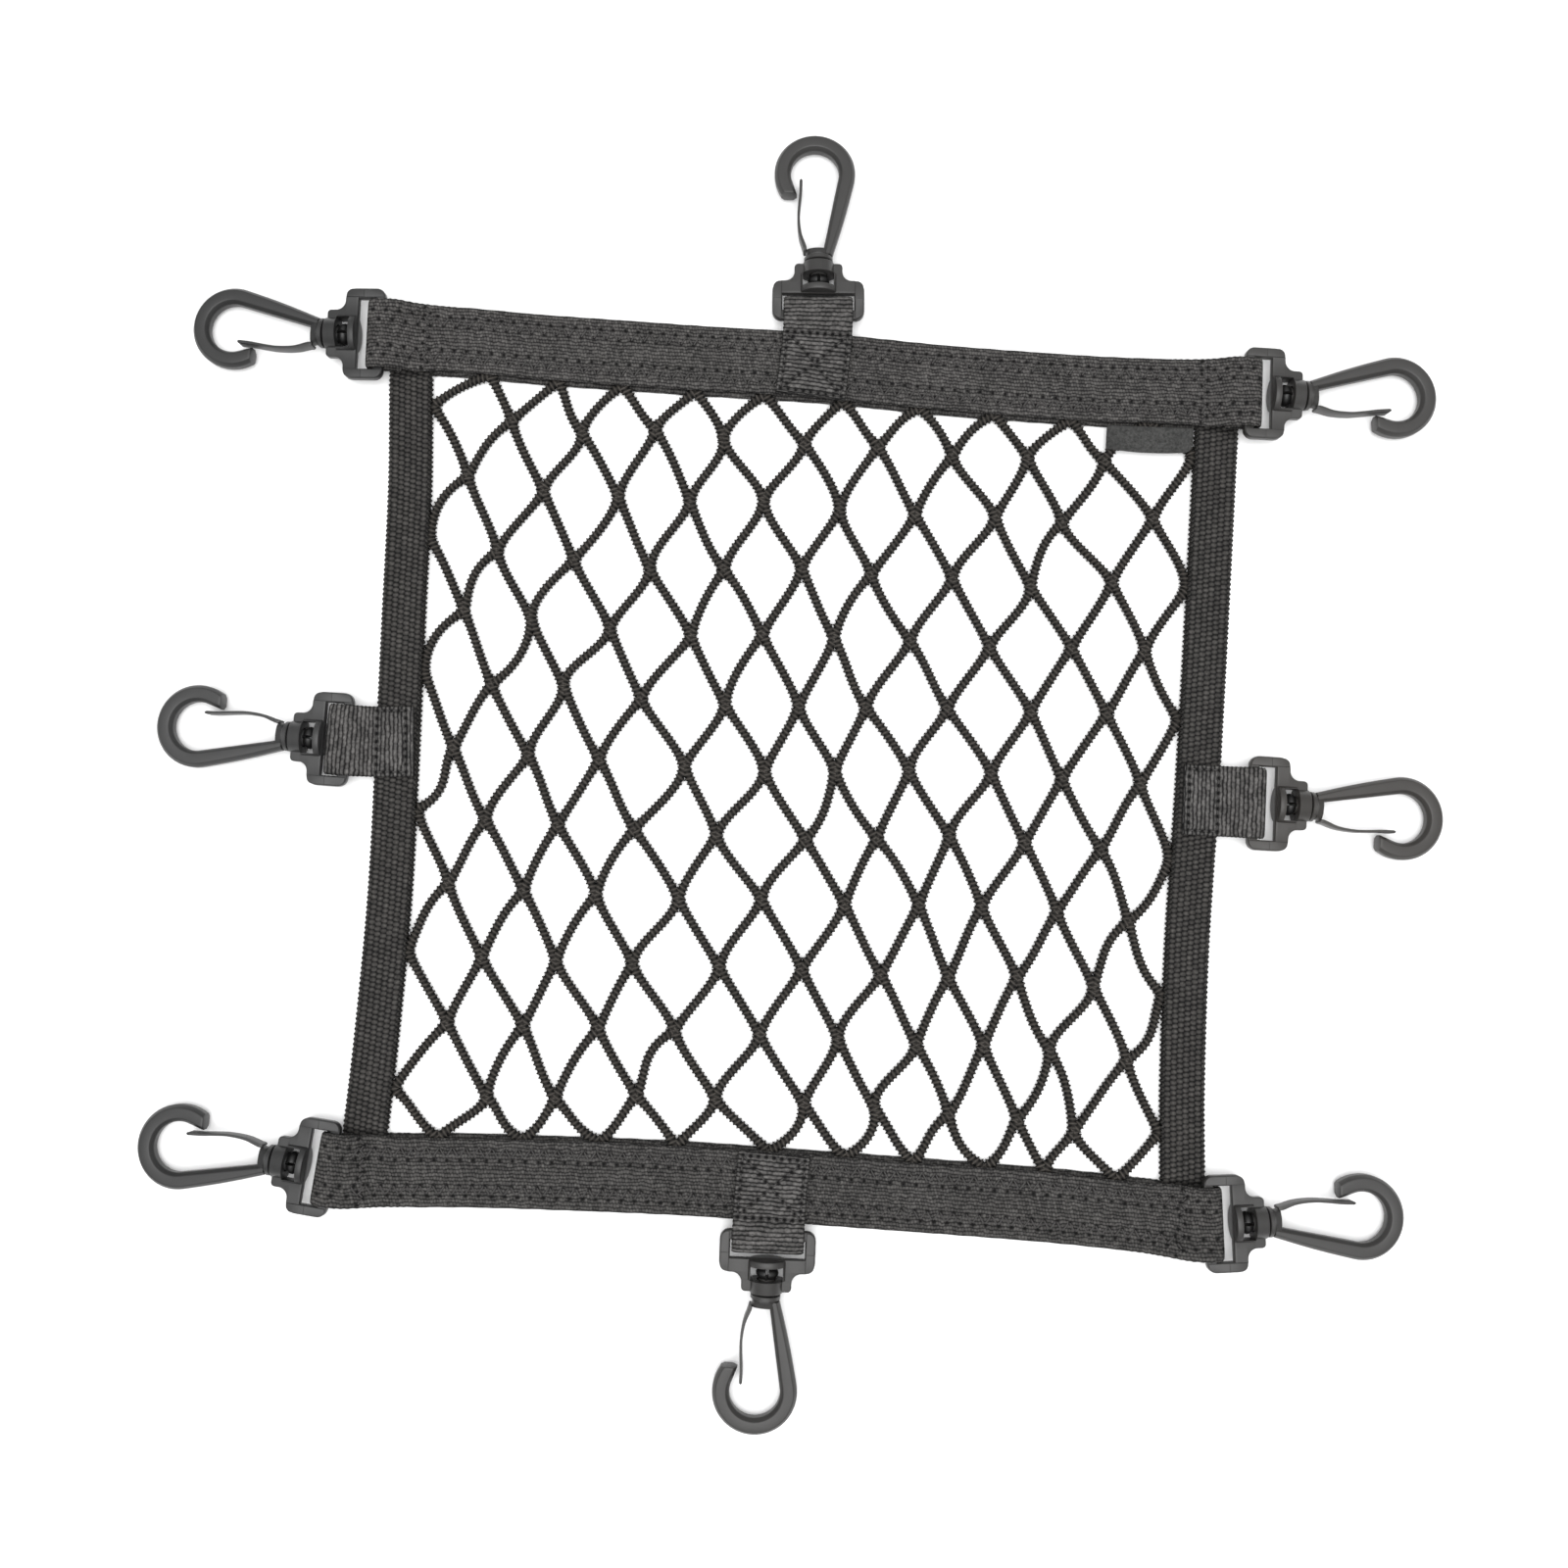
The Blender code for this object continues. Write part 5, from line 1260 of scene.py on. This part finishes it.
label_tape = webbing_finish(
    "label tape",
    LABEL_GROOVE_SHADE,
    LABEL_LIGHT,
    {"rib_pitch": 0.45, "rib_groove": 0.5, "pick_pitch": 0.5},
    relief=LABEL_RELIEF,
)
label = made("blank_label", [label_skin()], label_tape)
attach(label, "net")
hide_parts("label")

# ---------------------------------------------------------------- snap hook frames
# Each swivel hook turns in a moulded frame: a slotted plate with thick side rails for the webbing,
# and a barrel across its head with a collar, a bore for the stem and a window onto its split head.
FRAME_WIDTH, SLOT_WIDTH, SLOT_TOP = 33.6, 26.3, -11.9
SHOULDER, EAR_HALF_WIDTH, EAR_TOP = -7.0, 8.8, -0.5
BARREL_HALF_WIDTH, BARREL_HALF_HEIGHT, BARREL_END = 6.8, 5.5, -11.7
COLLAR_HALF_WIDTH, COLLAR_HALF_HEIGHT, COLLAR_LENGTH = 5.8, 5.1, 4.6
BORE_RADIUS, WINDOW_HALF_WIDTH = 3.4, 5.7
EAR_CORNER, HOLLOW, SHOULDER_CORNER, END_CORNER, RAIL_CORNER = 1.4, 3.4, 3.8, 3.2, 2.5
RAIL_STEP, RAIL_GROOVE, RAIL_HALF, RAIL_END_HALF = -14.0, 0.8, 1.95, 1.75
RAIL_IN, RAIL_SIDE, RAIL_INSET = 0.25, 0.3, 0.35  # from the slot, the plate's sides and its ends
PLATE_EDGE, RAIL_EDGE, FRAME_EDGE = 0.45, 0.3, 0.16  # how far edges are rounded
EASED_EDGE, SHARP_EDGE = 38, 32  # from which angle edges are eased, and shown as sharp
CURVED_SIDES, BORE_SIDES = 44, 28
WELD = 0.004
WINDOW_CUT = 10.0  # how far the block that cuts the window reaches up and down
BARREL_PROFILE = (
    # share of the half width, place
    (0.90, BARREL_END),
    (0.97, BARREL_END + 0.15),
    (1.00, BARREL_END + 0.6),
    (1.00, -COLLAR_LENGTH - 0.2),
    (0.98, -COLLAR_LENGTH + 0.05),
    (0.93, -COLLAR_LENGTH + 0.2),
)
COLLAR_PROFILE = ((1.0, -COLLAR_LENGTH - 0.4), (1.0, -0.45), (0.97, -0.12), (0.91, 0.0))
PLASTIC_ROUGHNESS, PLASTIC_GLOSS, PLASTIC_RELIEF = 0.4, 0.4, 0.04
HOOK_TONES = {
    # tone, warmth
    "top_left": (0.017, 0.0),
    "top": (0.026, 0.03),
    "top_right": (0.027, 0.04),
    "left": (0.024, 0.0),
    "right": (0.027, 0.08),
    "bottom_left": (0.018, 0.0),
    "bottom": (0.023, 0.04),
    "bottom_right": (0.026, 0.03),
}


def arc(x, y, radius, start, end, steps):
    """Points round a corner, from one angle to another, in degrees."""
    angles = np.radians(np.linspace(start, end, steps + 1))
    return [(x + radius * math.cos(a), y + radius * math.sin(a)) for a in angles]


def moulded(name, outlines, half, edge):
    """A flat outline with its holes, in the hook's own frame, with rounded edges."""
    curve = bpy.data.curves.new(name, "CURVE")
    curve.dimensions, curve.fill_mode = "2D", "BOTH"
    curve.extrude, curve.bevel_depth = (half - edge) * MM, edge * MM
    curve.bevel_resolution, curve.offset = 2, -edge * MM
    for points in outlines:
        spline = curve.splines.new("POLY")
        spline.points.add(len(points) - 1)
        for point, (x, y) in zip(spline.points, points):
            point.co = (x * MM, y * MM, 0.0, 1.0)
        spline.use_cyclic_u = True
    return faced_outwards(final_mesh(placed(name, curve)), WELD)


def final_mesh(obj):
    """The object's mesh with its modifiers applied; the object itself goes."""
    bpy.context.view_layer.update()
    depsgraph = bpy.context.evaluated_depsgraph_get()
    mesh = bpy.data.meshes.new_from_object(obj.evaluated_get(depsgraph))
    bpy.data.objects.remove(obj, do_unlink=True)
    return mesh


def turned(name, profile, sides, wide=1.0, high=1.0):
    """A profile of (radius, place) turned about the hook's own long axis.

    A third value in its rows says how high the form is there, as a share of the radius.
    """
    turns = np.linspace(0.0, 2 * math.pi, sides, endpoint=False)
    radius, place, *share = np.array(profile, float).T[:, :, None]
    points = np.empty((len(radius), sides, 3))
    points[:, :, 0] = radius * np.cos(turns) * wide
    points[:, :, 1] = place
    points[:, :, 2] = (radius * share[0] if share else radius) * np.sin(turns) * high
    return closed_mesh(name, points)


def closed_mesh(name, points):
    """A closed form from its rings of points, one after another."""
    places, _, faces = skin(points, points)
    mesh = bpy.data.meshes.new(name)
    mesh.from_pydata((places * MM).tolist(), [], faces)
    return faced_outwards(mesh)


def block(low, high):
    """A plain block between two corners, for cutting with."""
    (x0, y0, z0), (x1, y1, z1) = low, high
    ring = np.array([(x0, z0), (x1, z0), (x1, z1), (x0, z1)])
    points = np.empty((2, 4, 3))
    points[:, :, 0], points[:, :, 2] = ring[:, 0], ring[:, 1]
    points[:, :, 1] = np.array((y0, y1))[:, None]
    return closed_mesh("block", points)


def joined(mesh, steps, bevel=0.0):
    """A mesh joined to, or cut by, others, with its sharp edges then eased."""
    base, tools = placed("base", mesh), []
    for operation, other in steps:
        tools.append(placed("tool", other))
        step = base.modifiers.new(operation, "BOOLEAN")
        step.operation, step.object, step.solver = operation, tools[-1], "EXACT"
    if bevel:
        eased = base.modifiers.new("eased", "BEVEL")
        eased.width, eased.segments = bevel * MM, 2
        eased.limit_method, eased.angle_limit = "ANGLE", math.radians(EASED_EDGE)
    form = final_mesh(base)
    for tool in tools:
        bpy.data.objects.remove(tool, do_unlink=True)
    return form


def frame_form():
    """The frame: a plate with its slot and its side rails, and the barrel and collar cut open."""
    half, ear, wide = FRAME_WIDTH / 2, EAR_HALF_WIDTH, SLOT_WIDTH / 2
    side = (
        arc(ear - EAR_CORNER, EAR_TOP - EAR_CORNER, EAR_CORNER, 90, 0, 6)
        + arc(ear + HOLLOW, SHOULDER + HOLLOW, HOLLOW, 180, 270, 8)
        + arc(half - SHOULDER_CORNER, SHOULDER - SHOULDER_CORNER, SHOULDER_CORNER, 90, 0, 8)
        + arc(half - END_CORNER, FRAME_END + END_CORNER, END_CORNER, 0, -90, 8)
    )
    outline = side + [(-x, y) for x, y in side][::-1]
    slot = [(-wide, SLOT_TOP), (wide, SLOT_TOP), (wide, SLOT_END), (-wide, SLOT_END)]
    plate = moulded("plate", [outline, slot], FRAME_HALF_HEIGHT, PLATE_EDGE)

    inner, outer, ease = wide + RAIL_IN, half - RAIL_SIDE, RAIL_CORNER
    top, end, lower_top = SHOULDER - RAIL_INSET, FRAME_END + RAIL_INSET, RAIL_STEP + RAIL_GROOVE
    upper = [(inner, top), *arc(outer - ease, top - ease, ease, 90, 0, 6)]
    upper += [(outer, RAIL_STEP), (inner, RAIL_STEP)]
    lower = [(inner, lower_top), (outer, lower_top)]
    lower += [*arc(outer - ease, end + ease, ease, 0, -90, 6), (inner, end)]
    steps = []
    for sign in (-1, 1):
        for pad, high in ((upper, RAIL_HALF), (lower, RAIL_END_HALF)):
            rail = moulded("rail", [[(sign * x, y) for x, y in pad]], high, RAIL_EDGE)
            steps.append(("UNION", rail))
    barrel = turned("barrel", BARREL_PROFILE, CURVED_SIDES, BARREL_HALF_WIDTH, BARREL_HALF_HEIGHT)
    collar = turned("collar", COLLAR_PROFILE, CURVED_SIDES, COLLAR_HALF_WIDTH, COLLAR_HALF_HEIGHT)
    bore = turned("bore", [(BORE_RADIUS, WINDOW_END + 1.0), (BORE_RADIUS, 2.0)], BORE_SIDES)
    corner = (WINDOW_HALF_WIDTH, WINDOW_TOP, WINDOW_CUT)
    window = block((-WINDOW_HALF_WIDTH, WINDOW_END, -WINDOW_CUT), corner)
    steps += [("UNION", barrel), ("UNION", collar), ("DIFFERENCE", bore), ("DIFFERENCE", window)]
    return joined(plate, steps, FRAME_EDGE)


def frame_matrix(row):
    """A snap hook's own frame in the net: its +Y runs out along the swivel, dropping a little."""
    _, x, y, facing, _, _ = row
    aim = Matrix.Rotation(math.radians(facing - 90), 4, "Z")
    drop = Matrix.Rotation(math.radians(-SWIVEL_DROP), 4, "X")
    place = [(a - b) * MM for a, b in zip((x, y, axis_height(0.0)), ORIGIN)]
    return Matrix.Translation(place) @ aim @ drop


def fitted(name, form, matrix, stuff, mirrored=False):
    """A moulded piece in its place. Where each point is in its own mould goes with it."""
    mesh = form.copy()
    mesh.name = name
    if mirrored:
        mesh.transform(Matrix.Diagonal((-1.0, 1.0, 1.0, 1.0)))
        mesh.flip_normals()
    places = np.empty(len(mesh.vertices) * 3, np.float32)
    mesh.vertices.foreach_get("co", places)
    lie = mesh.attributes.new("lie", "FLOAT_VECTOR", "POINT")
    lie.data.foreach_set("vector", places / MM)
    mesh.transform(matrix)
    mesh.materials.clear()
    mesh.materials.append(stuff)
    mesh.polygons.foreach_set("use_smooth", [True] * len(mesh.polygons))
    mesh.set_sharp_from_angle(angle=math.radians(SHARP_EDGE))
    return placed(name, mesh)


def plastic_finish(name, tone, warm=0.0):
    """Satin moulded plastic: even grey with faint clouds, a fine grain and a few rubbed specks."""
    stuff, tree, shader, lie = finish(name, PLASTIC_ROUGHNESS, PLASTIC_GLOSS)
    colour = (tone * (1.0 + warm), tone, tone * (1.0 - warm), 1.0)
    marks = {"clouds": 0.12, "specks": 0.10, "cloud_scale": 0.15, "speck_scale": 3.0}
    dusty = placed_group(tree, SPECKLE, lie, color=colour, **marks)
    tree.links.new(dusty.outputs["Color"], shader.inputs["Base Color"])
    raised(tree, shader, dusty.outputs["Speck"], PLASTIC_RELIEF)
    return stuff


frame_mould = frame_form()
plastics = {}
for row in HOOKS:
    name = row[0]
    plastics[name] = plastic_finish(f"{name} hook plastic", *HOOK_TONES[name])
    piece = fitted(f"{name}_frame", frame_mould, frame_matrix(row), plastics[name])
    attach(piece, "net")
    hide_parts(f"frame_{name}")

# ---------------------------------------------------------------- snap hooks
# The hook itself: a split head and stem that turn in the frame, a flared neck, and one tapering
# limb that bends round into the bow and ends in a blunt tip. Moulded in the same plastic.
BOW_RADIUS, BOW_WIDTH, BOW_X, BOW_Y = 14.85, 6.0, 1.1, 34.5
BOW_START, BOW_END, BOW_POINTS = 194.0, -16.0, 40
LIMB_OUTER, LIMB_INNER, LIMB_SWELL, LIMB_POINTS = (-5.15, 2.6), (-1.35, 2.6), 0.35, 16
TIP_DROP, TIP_INNER, TIP_POINTS = 8.0, 6.7, 7
TIP_ROUNDING = ((0.18, 0.06, 0.97), (0.32, 0.30, 0.86))  # how far on, how much narrower, how high
HOOK_HALF, CHAMFER, CHAMFER_START, CORNER = 3.0, 1.2, 1.4, 0.3
LIMB_SECTION = (
    # side, inset, height
    (1.0, 0.0, -CHAMFER_START),
    (1.0, 0.0, CHAMFER_START),
    (1.0, CHAMFER, HOOK_HALF),
    (-1.0, CHAMFER, HOOK_HALF),
    (-1.0, 0.0, CHAMFER_START),
    (-1.0, 0.0, -CHAMFER_START),
    (-1.0, CHAMFER, -HOOK_HALF),
    (1.0, CHAMFER, -HOOK_HALF),
)
FLANGE_RADIUS, NECK_TOP = 5.3, 4.8
NECK_SIDES, STEM_SIDES = 40, 32
NECK_PROFILE = (
    # radius, place, height share
    (FLANGE_RADIUS - 0.2, 0.40, 0.99),
    (FLANGE_RADIUS, 0.60, 0.99),
    (FLANGE_RADIUS, 1.75, 0.98),
    (FLANGE_RADIUS - 0.35, 2.05, 0.96),
    (FLANGE_RADIUS - 0.75, 2.6, 0.90),
    (FLANGE_RADIUS - 0.80, 3.3, 0.80),
    (FLANGE_RADIUS - 0.45, 4.1, 0.68),
    (FLANGE_RADIUS - 0.30, NECK_TOP - 0.1, 0.61),
    (FLANGE_RADIUS - 0.55, NECK_TOP + 0.2, 0.60),
)
STEM_RADIUS, HEAD_RADIUS, HEAD_TOP, HEAD_END, HEAD_SLIT = 3.0, 4.0, -5.1, -9.1, 1.2
STEM_PROFILE = (
    # radius, place
    (HEAD_RADIUS - 2.0, HEAD_END),
    (HEAD_RADIUS - 1.0, HEAD_END + 0.4),
    (HEAD_RADIUS - 0.35, HEAD_END + 1.1),
    (HEAD_RADIUS, HEAD_END + 1.9),
    (HEAD_RADIUS - 0.1, HEAD_END + 2.6),
    (HEAD_RADIUS - 0.6, HEAD_TOP - 0.6),
    (HEAD_RADIUS - 1.0, HEAD_TOP - 0.1),
    (STEM_RADIUS, HEAD_TOP),
    (STEM_RADIUS, 1.4),
)
HEAD_CUT = 8.0  # how far the block that cuts the slit reaches up and down
# painted shade: the split head, deep in the frame's window, is the same plastic, given this much
# darker tone
HEAD_SHADE_TONE = 0.005


def hook_matrix(row):
    """A hook leans about the middle of its bore, which is wider than its stem."""
    gate, lean = row[4], row[5]
    bore = Matrix.Translation((0.0, -COLLAR_LENGTH / 2 * MM, 0.0))
    swing = Matrix.Rotation(math.radians(-gate * lean), 4, "Z")
    return frame_matrix(row) @ bore @ swing @ bore.inverted()


def limb_edges():
    """The outer and the inner edge of the limb and bow, from the neck to the tip, as seen flat."""
    middle = np.array((BOW_X, BOW_Y))

    def on_bow(radius, degrees):
        angles = np.radians(degrees)
        return np.stack([np.cos(angles), np.sin(angles)], -1) * radius + middle

    share = np.linspace(0.0, 1.0, LIMB_POINTS, endpoint=False)[:, None]
    tip_share = np.linspace(0.0, 1.0, TIP_POINTS + 1)[1:]
    tip_angle = -math.degrees(math.asin(TIP_DROP / BOW_RADIUS))
    tip_end = middle + (TIP_INNER, -TIP_DROP)
    edges = []
    for root, radius in ((LIMB_OUTER, BOW_RADIUS), (LIMB_INNER, BOW_RADIUS - BOW_WIDTH)):
        limb = np.array(root) * (1 - share) + on_bow(radius, BOW_START) * share
        bow = on_bow(radius, np.linspace(BOW_START, BOW_END, BOW_POINTS))
        if radius == BOW_RADIUS:
            limb[:, 0] -= LIMB_SWELL * np.sin(math.pi * share[:, 0])
            tip = on_bow(radius, BOW_END + (tip_angle - BOW_END) * tip_share)
        else:
            tip = bow[-1] + (tip_end - bow[-1]) * tip_share[:, None]
        edges.append(np.concatenate([limb, bow, tip]))
    return edges


def eased_ring(points, ease):
    """A closed outline with each corner swapped for three points of a small arc."""
    eased = []
    for p, before, after in zip(points, np.roll(points, 1, 0), np.roll(points, -1, 0)):
        start, end = (p + (q - p) * min(ease / np.linalg.norm(q - p), 0.4) for q in (before, after))
        eased += [start, (start + end) / 4 + p / 2, end]
    return np.array(eased)


def limb_points():
    """The limb's chamfered section along its middle line, rounded off at the tip."""
    outer, inner = limb_edges()
    middle, half = (outer + inner) / 2, np.linalg.norm(outer - inner, axis=1) / 2
    across = (outer - inner) / np.linalg.norm(outer - inner, axis=1)[:, None]
    stations = [(m, a, h, 1.0) for m, a, h in zip(middle, across, half)]
    end, way, wide, _ = stations[-1]
    ahead = np.array((way[1], -way[0]))
    ahead *= np.sign(ahead @ (middle[-1] - middle[-2]))
    stations += [(end + ahead * out, way, wide - less, tall) for out, less, tall in TIP_ROUNDING]
    rings = []
    for m, a, h, tall in stations:
        slope = min(h / 2.0, 1.0)
        corners = [(side * (h - inset * slope), high * tall) for side, inset, high in LIMB_SECTION]
        ring = eased_ring(np.array(corners), CORNER)
        rings.append(np.column_stack([m + a * ring[:, :1], ring[:, 1]]))
    return np.array(rings)


def hook_form():
    """The hook for a gate on the right, looking out along it."""
    limb = closed_mesh("limb", limb_points())
    neck = turned("neck", NECK_PROFILE, NECK_SIDES)
    stem = turned("stem", STEM_PROFILE, STEM_SIDES)
    low = (-HEAD_SLIT / 2, HEAD_END - 1.0, -HEAD_CUT)
    slit = block(low, (HEAD_SLIT / 2, HEAD_TOP + 0.2, HEAD_CUT))
    return joined(limb, [("UNION", neck), ("UNION", stem), ("DIFFERENCE", slit)])


hook_mould = hook_form()
# A darker copy of the hook plastic for the split head: painted shade inside the window
head_shade_plastic = plastic_finish("hook head painted shade plastic", HEAD_SHADE_TONE)
for row in HOOKS:
    name, gate = row[0], row[4]
    piece = fitted(f"{name}_hook", hook_mould, hook_matrix(row), plastics[name], gate < 0)
    piece.data.materials.append(head_shade_plastic)
    # the faces of the split head take the darker copy, as painted shade
    lie = piece.data.attributes["lie"].data
    for face in piece.data.polygons:
        if max(lie[k].vector[1] for k in face.vertices) < HEAD_TOP + 0.1:
            face.material_index = 1
    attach(piece, f"hook_{name}")
    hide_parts(f"hook_{name}")

# ---------------------------------------------------------------- gates
# A thin springing leaf of the same plastic closes each hook. It grows from the neck, thickens a
# little at its root and at its end, and its end rests inside the tip.
GATE_HALF_HEIGHT, GATE_STATIONS, GATE_CORNER = 2.6, 44, 0.28
GATE_END, GATE_END_LOWER = 0.55, 0.3  # the thickness left at its very ends, and how much lower
GATE_PATH = (
    # x, y, half thickness
    (5.0, 4.2, 0.75),
    (5.0, 5.4, 0.70),
    (6.6, 10.5, 0.55),
    (7.2, 16.8, 0.48),
    (6.9, 22.0, 0.48),
    (6.4, 26.8, 0.50),
    (6.2, 31.8, 0.58),
)


def gate_form():
    """The leaf along its path, its very ends a little thinner and lower."""
    table = np.array(GATE_PATH)
    place = np.linspace(table[0, 1], table[-1, 1], GATE_STATIONS)
    x, slope = smooth_line(table[:, [1, 0]], place)
    half, _ = smooth_line(table[:, [1, 2]], place)
    share = np.full(GATE_STATIONS, 1.0)
    share[[0, -1]] = GATE_END
    corners = np.array(((-1.0, -1.0), (1.0, -1.0), (1.0, 1.0), (-1.0, 1.0)))
    rings = []
    for a, b, lean, thick, full in zip(x, place, slope, half, share):
        section = corners * (thick * full, GATE_HALF_HEIGHT - GATE_END_LOWER * (1 - full))
        ring = eased_ring(section, GATE_CORNER)
        side = np.array((1.0, -lean)) / math.hypot(1.0, lean)
        rings.append(np.column_stack([(a, b) + side * ring[:, :1], ring[:, 1]]))
    return closed_mesh("gate", np.array(rings))


gate_mould = gate_form()
for row in HOOKS:
    name, gate = row[0], row[4]
    piece = fitted(f"{name}_gate", gate_mould, hook_matrix(row), plastics[name], gate < 0)
    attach(piece, f"gate_{name}")
    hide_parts(f"gate_{name}")
